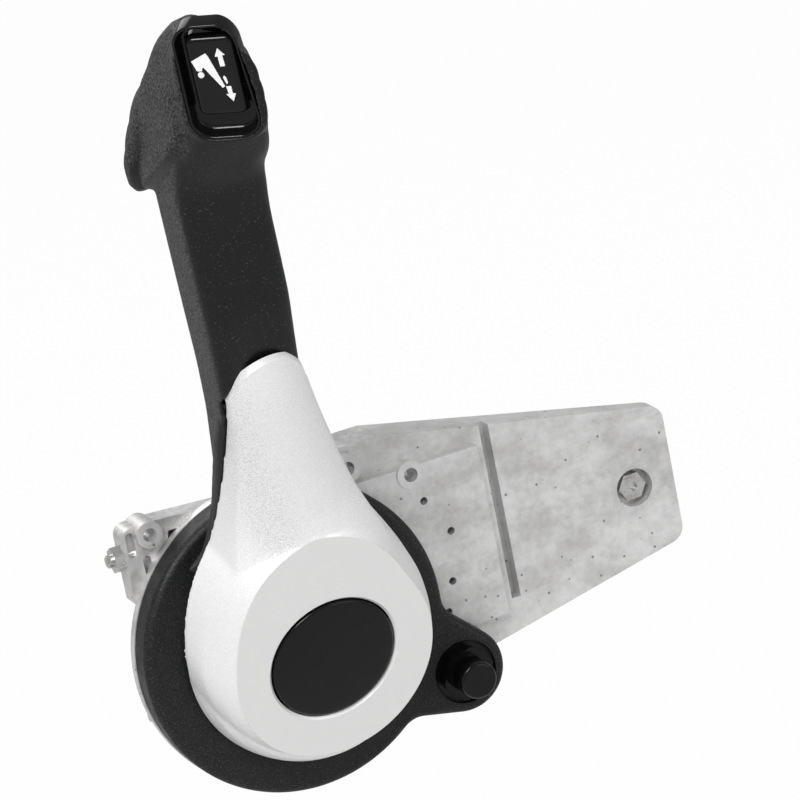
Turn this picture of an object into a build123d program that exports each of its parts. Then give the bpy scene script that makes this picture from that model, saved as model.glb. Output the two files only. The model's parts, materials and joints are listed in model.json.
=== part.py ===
"""Side-mount boat control: one lever that shifts and throttles an outboard motor.

Frame: +X runs aft, towards the cables. +Y runs into the panel. +Z is up.
The origin is on the hub axis, in the plane of the panel's outer face. Millimetres.
"""

import os
from math import acos, cos, pi, radians, sin, tan

from build123d import *

# ---- driving dimensions: housing casting ----
WALL = 3.0  # thickness of the cast walls
DRAFT_SET = 3.5  # how far the outer field of the casting sits behind the seat
HUB_WALL_R = 39.5  # round wall round the hub
FLANGE_R = 48.3  # round flange under the bezel
FLANGE_T = 3.2
BODY_END_X = 134.5  # aft end of the casting
BODY_TOP_Z = 49.2  # level part of the top edge
BODY_TOP_END_X = 41.5  # where the top edge starts to slope
BODY_TOP_START_X = -4.5
TOP_SLOPE = 11.1  # degrees
BOTTOM_SLOPE = 11.8  # degrees
RIM_Y = 19.0  # back edge of the casting at the hub
RIM_SLOPE = 6.0  # degrees that the back edge closes in towards the aft end
SEAT_RIGHT_X = 71.5
SEAT_TOP_Z = 38.0
SEAT_LOW_Z = -17.0
GROOVE_W = 3.0
GROOVE_DEPTH = 5.0
GROOVE_X = 74.5  # left side of the groove
CORNER_R = 5.0

EAR_LEFT_X = -43.0
EAR_TOP_Z = 44.0
EAR_FRONT_Y = 3.0
EAR_REAR_Y = 11.0
EAR_HOLE_X, EAR_HOLE_Z = -35.2, 42.6
EAR_BOSS_R = 4.1
EAR_HOLE_R = 2.1  # clears an M4 screw
BOSS_R = 4.4
PANEL_HOLE_R = 2.2
PANEL_HOLES = [(48.7, 35.6), (29.4, 43.5)]
PIN_HOLE_R = 1.2
PIN_HOLES = [(51.3, 26.2), (58.0, 14.4), (55.4, -1.2), (52.2, -10.4)]
ANCHOR_X, ANCHOR_Z = 121.0, 8.0
RECESS_R = 6.0
RECESS_DEPTH = 5.0

# ---- driving dimensions: bezel and stop switch ----
BEZEL_R = 48.0
BEZEL_H = 9.0
BEZEL_SHELL = 2.6
BEZEL_EDGE_R = 2.4
BEZEL_BLEND_R = 8.0
BEZEL_HOLE_R = 31.0
STOP_X, STOP_Z = 50.5, -27.0
STOP_BOSS_R = 13.2
STOP_RECESS_R = 10.0
STOP_RECESS_DEPTH = 2.2
STOP_BARREL_R = 6.0
STOP_BODY_R = 8.0
STOP_BODY_L = 26.0
STOP_NUT_AF = 15.0
STOP_NUT_H = 4.2
STOP_CAP_R = 5.0
STOP_TRAVEL = 3.0

# ---- driving dimensions: hub, gears, linkages ----
SHAFT_R = 7.0
SHAFT_BORE_R = 2.8
SHAFT_FRONT_Y = -17.3
BUSH_WALL = 3.0
RUN_FIT = 0.05  # radial running clearance
MODULE = 1.5
DRIVE_TEETH = 16
SECTOR_TEETH = 32
PRESSURE_ANGLE = 20.0
BACKLASH = 0.30  # width taken off each tooth at the pitch line
TIP_CLEARANCE = 0.30
GEAR_T = 4.0
GEAR_GAP = 1.0
GEAR_FRONT_Y = 4.2
SECTOR_LOW, SECTOR_HIGH = 33.0, 43.0  # toothed arc to each side of the hub line, degrees
SHIFT_AXIS_ANGLE = 20.0
THROTTLE_AXIS_ANGLE = 80.0
PIVOT_R = 4.0
PIVOT_HUB_R = 8.0
ARM_T = 3.0
SHIFT_ARM_L = 24.0
THROTTLE_ARM_L = 24.0
CABLE_PIN_R = 2.5
CABLE_PIN_L = 8.0
CABLE_PIN_FOOT_R = 2.0  # riveted end in the arm's eye
CABLE_PIN_NECK = 0.3  # how far the foot stands clear of the arm
COVER_T = 3.0
COVER_GAP = 0.4
DETENT_R = 21.0
DETENT_T = 3.0
LOCK_R = 24.0
LOCK_T = 2.5
WHEEL_GAP = 0.6
PLUNGER_R = 1.25
NOTCH_W = 5.0
CABLE_R = 4.0
CABLE_PITCH = 26.0

# ---- driving dimensions: lever ----
LEAN = 18.0  # degrees that the lever leans out from the panel
FORWARD = 7.3  # degrees that the lever stands forward of vertical
FACE_H = 37.5  # height of the flat face above the seat, on the hub axis
SKIRT_GAP = 2.5  # between bezel and hub cover
SKIRT_R = 36.9
NECK_HALF = 11.8
NECK_TOP = 111.0
COVER_WALL = 2.2
CAP_R = 20.3
CAP_GAP = 0.35
CAP_PROUD = 0.6
CAP_T = 5.0
BUTTON_TRAVEL = 3.0
STEM_R = 4.0
ROD_R = 2.5
ROD_HEAD_R = 8.0
ROD_HEAD_T = 3.0
ARM_BOSS_R = 15.0
ARM_LIP = 4.6  # width of the arm's edge that shows beside the hub cover
GRIP_START = 70.0
GRIP_LAP = 98.5  # height where the arched end of the hub cover springs
TANG_W, TANG_T, TANG_END = 14.0, 4.6, 158.0
TANG_S = -10.0
RELEASE_ROD_R = 1.8
RELEASE_S = -16.6
RELEASE_BAR_T = 169.5
RELEASE_BAR_H = 6.0
RELEASE_BAR_W = 15.0
RELEASE_TRAVEL = 4.0
BLADE_T = 19.7
BLADE_W = 4.0
TRIM_X, TRIM_T, TRIM_S = 0.0, 218.0, 16.0  # centre of the trim rocker's face on the lever
TRIM_TURN = 35.0  # degrees that the rocker is turned towards the front
POCKET_W, POCKET_L = 17.6, 33.0
POCKET_DOWN = 2.5  # pocket centre below the rocker's centre
POCKET_RIM = 1.2  # head's surface above the rocker's face
POCKET_FLOOR = -3.2
FRAME_WALL = 0.9
FRAME_FLOOR = 1.2
ROCKER_W, ROCKER_L = 13.4, 25.0
ROCKER_FOOT = -4.8
ROCKER_AXIS = -5.0
ROCKER_PIN_R = 1.0
ROCKER_GAP = 0.35
ROCKER_END_GAP = 1.0
SWITCH_W, SWITCH_L, SWITCH_TOP, SWITCH_DEPTH = 11.0, 20.0, -7.0, 7.5

SCREW_R = 1.5
SCREW_HEAD_H = 2.0


# ---- planes and small makers ----
def front_plane(y):
    """Plane parallel to the panel at depth y, facing out of the panel, local (x, z)."""
    return Plane(origin=(0, y, 0), x_dir=(1, 0, 0), z_dir=(0, -1, 0))


def slab(profile, y_front, y_rear, taper=0):
    """Solid between two depths, from a profile in x and z."""
    return extrude(front_plane(y_rear) * profile, y_rear - y_front, taper=taper)


def disc(radius, y_front, y_rear, x=0.0, z=0.0):
    """Round solid along Y."""
    return slab(Pos(x, z) * Circle(radius), y_front, y_rear)


def tube(outer, inner, y_front, y_rear, x=0.0, z=0.0):
    """Round ring along Y."""
    return slab(Pos(x, z) * (Circle(outer) - Circle(inner)), y_front, y_rear)


def polar(radius, degrees):
    """Point at an angle in the panel's plane."""
    return radius * cos(radians(degrees)), radius * sin(radians(degrees))


LEVER = Plane(
    origin=(0, -FACE_H, 0),
    x_dir=(1, 0, 0),
    z_dir=(0, -cos(radians(LEAN)), -sin(radians(LEAN))),
)
LEVER_TURN = Rot(0, -FORWARD, 0)


def lever_section(t):
    """Plane across the lever at height t, local (x, s)."""
    return Plane(origin=LEVER.from_local_coords((0, t, 0)), x_dir=(1, 0, 0), z_dir=-LEVER.y_dir)


def lever_slab(profile, s_low, s_high):
    """Solid square to the flat face, from a profile in x and t."""
    return extrude(LEVER.offset(s_low) * profile, s_high - s_low)


def lever_bar(profile, t_low, t_high):
    """Solid along the lever, from a profile in x and s."""
    return extrude(lever_section(t_high) * profile, t_high - t_low)


def lever_side(points, half):
    """Solid across the lever, from corners given as (s, t)."""
    side = Plane(origin=LEVER.origin, x_dir=LEVER.z_dir, z_dir=-LEVER.x_dir)
    return extrude(side * make_face(Polyline(*points, close=True)), half, both=True)


def cap_screw(y_head, y_tip, x, z, radius=SCREW_R, facing=-1):
    """Pan screw along Y with a hexagon socket. facing -1: its head looks out of the panel."""
    under = y_head - facing * SCREW_HEAD_H
    head = disc(radius * 1.85, min(y_head, under), max(y_head, under), x, z)
    socket_end = y_head - facing * SCREW_HEAD_H * 0.6
    socket = slab(
        Pos(x, z) * RegularPolygon(radius * 0.9, 6), min(y_head, socket_end), max(y_head, socket_end)
    )
    shank = disc(radius, min(under, y_tip), max(under, y_tip), x, z)
    return head + shank - socket


# ---- housing casting ----
def body_outline(inset=0.0):
    """Outer shape of the deep part of the casting in x and z."""
    top_drop = (BODY_END_X - BODY_TOP_END_X) * tan(radians(TOP_SLOPE))
    bottom_touch = (
        -HUB_WALL_R * -sin(radians(BOTTOM_SLOPE)),
        -HUB_WALL_R * cos(radians(BOTTOM_SLOPE)),
    )
    bottom_end = bottom_touch[1] + (BODY_END_X - bottom_touch[0]) * tan(radians(BOTTOM_SLOPE))
    shape = make_face(
        Polyline(
            (BODY_TOP_START_X, 0),
            (BODY_TOP_START_X, BODY_TOP_Z),
            (BODY_TOP_END_X, BODY_TOP_Z),
            (BODY_END_X, BODY_TOP_Z - top_drop),
            (BODY_END_X, bottom_end),
            bottom_touch,
            close=True,
        )
    )
    shape = fillet(shape.vertices().filter_by(lambda v: v.X > BODY_END_X - 1), CORNER_R)
    shape = shape + Circle(HUB_WALL_R)
    return offset(shape, -inset) if inset else shape


def seat_field():
    """Raised seat that meets the panel, in x and z."""
    return make_face(
        Polyline(
            (-10, SEAT_LOW_Z),
            (-10, SEAT_TOP_Z),
            (SEAT_RIGHT_X, SEAT_TOP_Z),
            (SEAT_RIGHT_X, SEAT_LOW_Z),
            close=True,
        )
    )


def rim_cutter():
    """Everything behind the sloping back edge of the casting."""
    reach = 200.0
    fall = (reach - BODY_TOP_END_X) * tan(radians(RIM_SLOPE))
    side = Plane(origin=(0, 0, -100), x_dir=(1, 0, 0), z_dir=(0, 0, 1))
    return extrude(
        side
        * make_face(
            Polyline(
                (-reach, RIM_Y),
                (BODY_TOP_END_X, RIM_Y),
                (reach, RIM_Y - fall),
                (reach, 80),
                (-reach, 80),
                close=True,
            )
        ),
        reach,
    )


def groove_shape():
    """Narrow groove between the seat's field and the aft field."""
    height = BODY_TOP_Z + 10 + 14.0
    centre = (BODY_TOP_Z + 10 - 14.0) / 2
    return Pos(GROOVE_X + GROOVE_W / 2, centre) * Rectangle(GROOVE_W, height)


def ear():
    """Lug at the top of the forward end, with its threaded boss and two slots."""
    shape = make_face(
        Polyline(
            (EAR_LEFT_X, 22.0),
            (EAR_LEFT_X, EAR_TOP_Z + 1.0),
            (EAR_HOLE_X, EAR_TOP_Z + 1.6),
            (BODY_TOP_START_X + 3, EAR_TOP_Z - 0.5),
            (BODY_TOP_START_X + 3, 20.0),
            (-25.0, 20.0),
            close=True,
        )
    )
    shape = fillet(shape.vertices().filter_by(lambda v: v.X < EAR_LEFT_X + 0.1).sort_by(Axis.Y)[-1:], 3.5)
    plate = slab(shape, EAR_FRONT_Y, EAR_REAR_Y)
    pocket = make_face(
        Polyline((-28.5, 41.0), (-9.0, 41.0), (-19.0, 35.0), (-30.0, 31.0), close=True)
    )
    plate -= slab(pocket, EAR_FRONT_Y, EAR_FRONT_Y + 3.5)
    for x, z in ((-40.6, 40.0), (-36.6, 31.5)):
        plate -= slab(Pos(x, z) * SlotOverall(8.0, 2.6, rotation=90), EAR_FRONT_Y, EAR_FRONT_Y + 2.5)
    plate += disc(EAR_BOSS_R, -0.5, EAR_REAR_Y, EAR_HOLE_X, EAR_HOLE_Z)
    return plate


def make_front_housing():
    """Die-cast pan: seat, aft field, groove, bosses, ear, flange and deep recess."""
    shell = slab(body_outline(), DRAFT_SET, RIM_Y)
    shell += slab(seat_field() & body_outline(), 0, DRAFT_SET + 1)
    shell += disc(HUB_WALL_R, 0, RIM_Y)
    shell += disc(FLANGE_R, 0, FLANGE_T)
    shell += ear()
    for x, z in PANEL_HOLES:
        shell += disc(BOSS_R, -0.5, DRAFT_SET + WALL, x, z)
    inner = body_outline(WALL)
    hollow = slab(inner, DRAFT_SET + WALL, RIM_Y + 1)
    hollow += slab(inner & offset(seat_field(), -WALL), WALL, DRAFT_SET + WALL)
    hollow += disc(HUB_WALL_R - WALL, WALL, DRAFT_SET + WALL)
    keep = slab(
        Pos(GROOVE_X + GROOVE_W / 2, 10) * Rectangle(GROOVE_W + 2 * WALL, 100),
        DRAFT_SET,
        DRAFT_SET + GROOVE_DEPTH + WALL,
    )
    keep += disc(RECESS_R + WALL, DRAFT_SET, DRAFT_SET + RECESS_DEPTH + WALL, ANCHOR_X, ANCHOR_Z)
    keep += disc(PANEL_HOLE_R + 2.6, DRAFT_SET, RIM_Y - 6, *PANEL_HOLES[0])
    for x, z in COVER_SCREWS:
        keep += disc(SCREW_R + 2.4, WALL, COVER_Y, x, z)
    keep += disc(SHAFT_R + 2 * BUSH_WALL + 2.0, 0, GEAR_FRONT_Y - 0.8)
    keep += disc(PIVOT_R + 3.0, DRAFT_SET, THROTTLE_GEAR_Y - 0.6, *THROTTLE_PIVOT)
    keep += disc(STOP_BODY_R + 1.0 + WALL, DRAFT_SET, RIM_Y + 1, STOP_X, STOP_Z)
    shell -= hollow - keep
    shell -= slab(groove_shape(), -1, DRAFT_SET + GROOVE_DEPTH)
    shell -= disc(RECESS_R, 0, DRAFT_SET + RECESS_DEPTH, ANCHOR_X, ANCHOR_Z)
    shell -= disc(ANCHOR_BOLT_R + 0.3, 0, RIM_Y, ANCHOR_X, ANCHOR_Z)
    shell -= disc(SHAFT_R + BUSH_WALL, -1, RIM_Y)
    shell -= disc(STOP_BODY_R + 1.0, -1, RIM_Y, STOP_X, STOP_Z)
    shell -= disc(EAR_HOLE_R, -2, RIM_Y, EAR_HOLE_X, EAR_HOLE_Z)
    for x, z in PANEL_HOLES:
        shell -= disc(PANEL_HOLE_R, -2, RIM_Y, x, z)
    for x, z in PIN_HOLES:
        shell -= disc(PIN_HOLE_R, -1, RIM_Y, x, z)
    for x, z in COVER_SCREWS:
        shell -= disc(SCREW_R, WALL + 1.5, RIM_Y, x, z)
    for x, z in FRONT_SCREWS:
        shell -= disc(SCREW_R, -1, FLANGE_T + 0.5, x, z)
    shell -= disc(PIVOT_R + RUN_FIT, THROTTLE_SHAFT_Y - 0.4, RIM_Y, *THROTTLE_PIVOT)
    shell -= stud_rod(ADJUSTER_TIP_X, ADJUSTER_END_X, ADJUSTER_Y, ADJUSTER_Z, ADJUSTER_R)
    shell -= stud_rod(LOW_TIP_X, LOW_END_X, LOW_Y, LOW_Z, LOW_R)
    return shell - rim_cutter()


# ---- studs on the forward side ----
ADJUSTER_R = 2.0
ADJUSTER_Y, ADJUSTER_Z = 6.8, 36.0
ADJUSTER_TIP_X, ADJUSTER_END_X = -48.0, -31.0
LOW_R = 1.5
LOW_Y, LOW_Z = 8.0, -15.2
LOW_TIP_X, LOW_END_X = -45.0, -30.0
NUT_AF = 7.0
NUT_H = 3.2


def stud_rod(x_start, x_end, y, z, radius):
    """Plain round rod along X."""
    return extrude(Plane(origin=(x_start, y, z), z_dir=(1, 0, 0)) * Circle(radius), x_end - x_start)


def make_adjuster_stud():
    """Friction adjuster, threaded through the ear."""
    rod = stud_rod(ADJUSTER_TIP_X, ADJUSTER_END_X, ADJUSTER_Y, ADJUSTER_Z, ADJUSTER_R)
    return chamfer(rod.edges().group_by(Axis.X)[0], 0.5)


def make_adjuster_nut():
    """Hexagon lock nut against the ear's forward face."""
    start = Plane(origin=(EAR_LEFT_X - NUT_H, ADJUSTER_Y, ADJUSTER_Z), z_dir=(1, 0, 0))
    nut = extrude(start * RegularPolygon(NUT_AF / 2, 6, major_radius=False), NUT_H)
    return nut - stud_rod(ADJUSTER_TIP_X, 0, ADJUSTER_Y, ADJUSTER_Z, ADJUSTER_R)


def make_low_screw():
    """Set screw in the round wall, lower down."""
    return stud_rod(LOW_TIP_X, LOW_END_X, LOW_Y, LOW_Z, LOW_R)


# ---- bezel and stop switch ----
def bezel_outline(radius, boss_radius):
    """Round escutcheon run into the stop switch boss."""
    hull = make_hull(
        (Pos(STOP_X, STOP_Z) * Circle(boss_radius)).edges()
        + (Pos(STOP_X * 0.42, STOP_Z * 0.42) * Circle(boss_radius + 9)).edges()
    )
    shape = Circle(radius) + hull
    return fillet(shape.vertices(), BEZEL_BLEND_R)


def make_bezel():
    """Shallow round shell with a drafted wall, an open centre and the switch boss."""
    shape = bezel_outline(BEZEL_R, STOP_BOSS_R)
    shell = slab(shape, -BEZEL_H, 0)
    shell = fillet(shell.faces().sort_by(Axis.Y)[0].edges(), BEZEL_EDGE_R)
    inner = bezel_outline(BEZEL_R - BEZEL_SHELL, STOP_BOSS_R - BEZEL_SHELL)
    shell -= slab(inner, -BEZEL_H + BEZEL_SHELL, 0.1)
    boss = disc(STOP_RECESS_R + 1.6, -BEZEL_H + STOP_RECESS_DEPTH, 0, STOP_X, STOP_Z)
    shell += boss
    for x, z in BEZEL_SCREWS:
        shell += disc(3.2, -BEZEL_H + BEZEL_SHELL, 0, x, z)
        shell -= disc(SCREW_R, -BEZEL_H + BEZEL_SHELL, 0, x, z)
    shell -= disc(STOP_RECESS_R, -BEZEL_H - 1, -BEZEL_H + STOP_RECESS_DEPTH, STOP_X, STOP_Z)
    shell -= disc(STOP_BARREL_R, -BEZEL_H - 1, 1, STOP_X, STOP_Z)
    return shell - disc(BEZEL_HOLE_R, -BEZEL_H - 1, 1)


def stop_floor():
    """Depth of the floor that the stop switch's nut stands on."""
    return -BEZEL_H + STOP_RECESS_DEPTH


def make_stop_switch_body():
    """Switch barrel through the boss, with its wider body behind the panel."""
    body = disc(STOP_BARREL_R, stop_floor() - 0.6 - STOP_NUT_H - 1.2, 0, STOP_X, STOP_Z)
    body += disc(STOP_BODY_R, 0, STOP_BODY_L, STOP_X, STOP_Z)
    for side in (-1, 1):
        tag = Pos(STOP_X + side * 3.2, STOP_Z) * Rectangle(0.8, 4.8)
        body += slab(tag, STOP_BODY_L, STOP_BODY_L + 7.0)
    bore = disc(STOP_CAP_R - 1.4 + RUN_FIT, -30, 8, STOP_X, STOP_Z)
    return body - bore


def make_stop_switch_nut():
    """Hexagon nut that clamps the stop switch in its recess."""
    rear = stop_floor() - 0.6
    nut = slab(
        Pos(STOP_X, STOP_Z) * RegularPolygon(STOP_NUT_AF / 2, 6, major_radius=False, rotation=12),
        rear - STOP_NUT_H,
        rear,
    )
    nut &= disc(STOP_NUT_AF / 2 + 0.8, rear - STOP_NUT_H, rear, STOP_X, STOP_Z)
    return nut - disc(STOP_BARREL_R, -40, 1, STOP_X, STOP_Z)


def make_stop_switch_washer():
    """Thin washer under the nut."""
    return tube(STOP_NUT_AF / 2 + 1.6, STOP_BARREL_R, stop_floor() - 0.6, stop_floor(), STOP_X, STOP_Z)


def make_stop_plunger():
    """Lanyard plunger: a stub cap with a groove for the clip, on a guided stem."""
    top = stop_floor() - 0.6 - STOP_NUT_H - 1.2
    cap_rear = top - STOP_TRAVEL - 0.4
    cap = disc(STOP_CAP_R + 0.8, cap_rear - 3.6, cap_rear, STOP_X, STOP_Z)
    cap = fillet(cap.edges().sort_by(Axis.Y)[0], 1.2)
    return cap + disc(STOP_CAP_R - 1.4, cap_rear, 3.0, STOP_X, STOP_Z)


# ---- gears ----
def tooth_flank(teeth, tooth_width, outer_r):
    """Half tooth: points (radius, half angle) along an involute from base to tip."""
    pitch_r = MODULE * teeth / 2
    base_r = pitch_r * cos(radians(PRESSURE_ANGLE))
    involute = tan(radians(PRESSURE_ANGLE)) - radians(PRESSURE_ANGLE)
    half_at_pitch = tooth_width / 2 / pitch_r
    steps = 4
    flank = []
    for step in range(steps + 1):
        radius = base_r + (outer_r - base_r) * step / steps
        angle = acos(min(1.0, base_r / radius))
        flank.append((radius, half_at_pitch + involute - (tan(angle) - angle)))
    return flank


def gear_profile(teeth, turn_deg):
    """Spur gear outline with its first tooth at turn_deg."""
    pitch_r = MODULE * teeth / 2
    outer_r = pitch_r + MODULE - TIP_CLEARANCE
    root_r = pitch_r - 1.25 * MODULE
    width = pi * MODULE / 2 - BACKLASH
    flank = tooth_flank(teeth, width, outer_r)
    points = []
    for tooth in range(teeth):
        mid = radians(turn_deg) + 2 * pi * tooth / teeth
        left = [(root_r, flank[0][1] * 1.05)] + flank
        points += [(r * cos(mid - a), r * sin(mid - a)) for r, a in left]
        points += [(r * cos(mid + a), r * sin(mid + a)) for r, a in reversed(left)]
    return make_face(Polyline(*points, close=True))


CENTRE_DISTANCE = MODULE * (DRIVE_TEETH + SECTOR_TEETH) / 2
SHIFT_PIVOT = polar(CENTRE_DISTANCE, SHIFT_AXIS_ANGLE)
THROTTLE_PIVOT = polar(CENTRE_DISTANCE, THROTTLE_AXIS_ANGLE)
SHIFT_GEAR_Y = GEAR_FRONT_Y
THROTTLE_GEAR_Y = GEAR_FRONT_Y + GEAR_T + GEAR_GAP
DRIVE_REAR_Y = THROTTLE_GEAR_Y + GEAR_T
COVER_Y = DRIVE_REAR_Y + 0.8
HUB_REAR_Y = COVER_Y + COVER_T + 3.0
SHAFT_REAR_Y = HUB_REAR_Y + 2.1
SHIFT_ARM_Y = COVER_Y + COVER_T + 0.6
THROTTLE_ARM_Y = SHAFT_REAR_Y + 0.7
SHIFT_SHAFT_Y = WALL + 0.2
THROTTLE_SHAFT_Y = WALL + 2.0
ANCHOR_BOLT_R = 2.5
PIVOT_BUSHES = [
    # pivot, front end, rear end
    (SHIFT_PIVOT, SHIFT_GEAR_Y + GEAR_T + 0.8, COVER_Y + COVER_T),
    (THROTTLE_PIVOT, COVER_Y, THROTTLE_ARM_Y - 0.6),
]
COVER_SCREWS = [(-31.0, 4.0), (-19.0, -26.0), (18.0, -28.5), (60.0, -9.0), (61.0, 27.0), (-24.5, 22.0)]
BEZEL_SCREWS = [polar(43.5, 175), polar(43.5, 236), polar(43.5, 292)]
LOCK_SCREWS = [polar(20.5, 0), polar(20.5, 180), polar(20.5, 270)]
DETENT_ANGLE = 270.0
BLOCK_SCREWS = [(-8.5, -30.5), (8.5, -30.5)]
FRONT_SCREWS = BEZEL_SCREWS + LOCK_SCREWS + BLOCK_SCREWS


def make_drive_gear():
    """Pinion on the hub shaft, wide enough for both sectors."""
    gear = slab(gear_profile(DRIVE_TEETH, SHIFT_AXIS_ANGLE), GEAR_FRONT_Y, DRIVE_REAR_Y)
    return gear - disc(SHAFT_R, 0, 30) - key_shape()


def key_shape():
    """Parallel key between shaft and drive gear."""
    return slab(Pos(0, -SHAFT_R) * Rectangle(3.0, 2.4), GEAR_FRONT_Y + 1, DRIVE_REAR_Y - 1)


def sector(pivot, axis_angle, y_front):
    """Toothed sector that meshes with the drive gear, on its pivot's hub."""
    x, z = pivot
    tooth_space = 180.0 / SECTOR_TEETH
    facing = axis_angle + 180.0
    offset_teeth = (axis_angle - SHIFT_AXIS_ANGLE) * DRIVE_TEETH / 360.0
    # the drive gear shows a tooth towards the shift pivot and, round from it, a part-turned one
    phase = (offset_teeth - round(offset_teeth)) * 360.0 / DRIVE_TEETH
    turn = facing + tooth_space + phase * DRIVE_TEETH / SECTOR_TEETH
    reach = MODULE * SECTOR_TEETH
    span = [-SECTOR_LOW, -SECTOR_LOW / 2, 0.0, SECTOR_HIGH / 2, SECTOR_HIGH]
    wedge = make_face(
        Polyline((0, 0), *[polar(reach, facing + angle) for angle in span], close=True)
    )
    profile = (gear_profile(SECTOR_TEETH, turn) & wedge) + Circle(PIVOT_HUB_R)
    profile -= Circle(PIVOT_R)
    return slab(Pos(x, z) * profile, y_front, y_front + GEAR_T)


def make_pivot_shaft(pivot, y_front, arm_y):
    """Shaft that carries a sector inside and an arm outside the gear cover."""
    x, z = pivot
    groove_y = arm_y + ARM_T + 0.3
    shaft = disc(PIVOT_R, y_front, groove_y + 1.6, x, z)
    return shaft - tube(PIVOT_R + 1, PIVOT_R - 0.6, groove_y, groove_y + 0.7, x, z)


def make_ring(pivot, arm_y):
    """Retaining ring behind an arm."""
    x, z = pivot
    groove_y = arm_y + ARM_T + 0.3
    ring = tube(PIVOT_R + 1.4, PIVOT_R - 0.6, groove_y, groove_y + 0.7, x, z)
    return ring - slab(Pos(x, z + PIVOT_R) * Rectangle(3.0, 6.0), arm_y, groove_y + 5)


def make_arm(pivot, length, arm_y):
    """Flat link arm that hangs from its pivot, with an eye for the cable pin."""
    x, z = pivot
    outline = make_hull(
        Circle(PIVOT_HUB_R).edges() + (Pos(0, -length) * Circle(CABLE_PIN_R + 3.0)).edges()
    )
    outline -= Circle(PIVOT_R) + Pos(0, -length) * Circle(CABLE_PIN_FOOT_R)
    outline -= Pos(0, -length * 0.5) * SlotOverall(length * 0.36, 3.4, rotation=90)
    return slab(Pos(x, z) * outline, arm_y, arm_y + ARM_T)


def make_cable_pin(pivot, length, arm_y):
    """Pin that takes the cable's end, riveted in the arm's eye."""
    x, z = pivot
    seat = arm_y + ARM_T + CABLE_PIN_NECK
    pin = disc(CABLE_PIN_R, seat, arm_y + ARM_T + CABLE_PIN_L, x, z - length)
    pin = chamfer(pin.edges().sort_by(Axis.Y)[-1], 0.5)
    return pin + disc(CABLE_PIN_FOOT_R, arm_y, seat, x, z - length)


def cover_outline():
    """Gear cover: round over the hub, run out to both pivots."""
    lobes = Circle(34.0).edges() + (Pos(61, 27) * Circle(7)).edges() + (Pos(60, -9) * Circle(7)).edges()
    return make_hull(lobes + (Pos(*THROTTLE_PIVOT) * Circle(10)).edges())


def make_rear_cover():
    """Plate that closes the gear chamber and carries the rear bush and the pivot bushes."""
    plate = slab(cover_outline() & body_outline(WALL + COVER_GAP), COVER_Y, COVER_Y + COVER_T)
    plate += disc(SHAFT_R + BUSH_WALL + 3.0, COVER_Y, HUB_REAR_Y)
    for angle in (140, 200, 245):
        rib = Pos(*polar(20, angle)) * Rectangle(20, 2.4, rotation=angle)
        plate += slab(rib, COVER_Y + COVER_T, COVER_Y + COVER_T + 1.6)
    plate -= disc(SHAFT_R + BUSH_WALL, 0, 40)
    for (x, z), y_front, y_rear in PIVOT_BUSHES:
        plate += disc(PIVOT_R + 4.0, y_front, y_rear, x, z)
        plate -= disc(PIVOT_R + 1.5, 0, 40, x, z)
    for x, z in COVER_SCREWS:
        plate -= disc(SCREW_R, 0, 40, x, z)
    plate -= disc(STOP_BODY_R + 1.0 + WALL + COVER_GAP, 0, 40, STOP_X, STOP_Z)
    return plate - disc(PANEL_HOLE_R + 3.2, 0, 40, *PANEL_HOLES[0])


def make_cover_screws():
    """Screws of the gear cover."""
    rear = COVER_Y + COVER_T + SCREW_HEAD_H
    return [cap_screw(rear, WALL + 2.0, x, z, facing=1) for x, z in COVER_SCREWS]


def make_front_bush():
    """Flanged bush for the hub shaft, in the casting."""
    bush = tube(SHAFT_R + BUSH_WALL, SHAFT_R + RUN_FIT, 0, GEAR_FRONT_Y - 0.5)
    return bush + tube(SHAFT_R + BUSH_WALL + 2, SHAFT_R + RUN_FIT, -0.8, 0)


def make_rear_bush():
    """Bush for the hub shaft, in the gear cover."""
    return tube(SHAFT_R + BUSH_WALL, SHAFT_R + RUN_FIT, COVER_Y, HUB_REAR_Y)


def make_pivot_bushes():
    """Bushes of both pivots, in the gear cover."""
    return [
        tube(PIVOT_R + 1.5, PIVOT_R + RUN_FIT, y_front, y_rear, x, z)
        for (x, z), y_front, y_rear in PIVOT_BUSHES
    ]


def make_hub_shaft():
    """Hollow stepped shaft that carries the lever, the detent wheel and the drive gear."""
    shaft = disc(SHAFT_R, SHAFT_FRONT_Y, SHAFT_REAR_Y) - disc(SHAFT_BORE_R, -60, 60)
    groove_y = HUB_REAR_Y + 0.3
    shaft -= tube(SHAFT_R + 1, SHAFT_R - 0.8, groove_y, groove_y + 1.0)
    return shaft - key_shape()


def make_shaft_ring():
    """Retaining ring at the rear end of the hub shaft."""
    groove_y = HUB_REAR_Y + 0.3
    ring = tube(SHAFT_R + 1.8, SHAFT_R - 0.8, groove_y, groove_y + 1.0)
    return ring - slab(Pos(0, SHAFT_R) * Rectangle(4.0, 8.0), groove_y, groove_y + 2)


# ---- detent, lock plate, switch ----
def make_detent_wheel():
    """Notched wheel behind the bezel: neutral, ahead and astern."""
    front = -LOCK_T - WHEEL_GAP - DETENT_T
    profile = Circle(DETENT_R)
    for gear_angle in (0.0, 32.0, -32.0):
        profile -= Pos(*polar(DETENT_R + 0.8, DETENT_ANGLE + gear_angle)) * Circle(2.4)
    return slab(profile - Circle(SHAFT_R), front, front + DETENT_T)


DETENT_AXIS_Y = -LOCK_T - WHEEL_GAP - DETENT_T / 2
PLUNGER_L = 8.0


def detent_line(start):
    """Plane square to the plunger's axis, at a distance from the hub axis."""
    x, z = polar(1.0, DETENT_ANGLE)
    return Plane(origin=(x * start, DETENT_AXIS_Y, z * start), x_dir=(0, 1, 0), z_dir=(x, 0, z))


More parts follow.
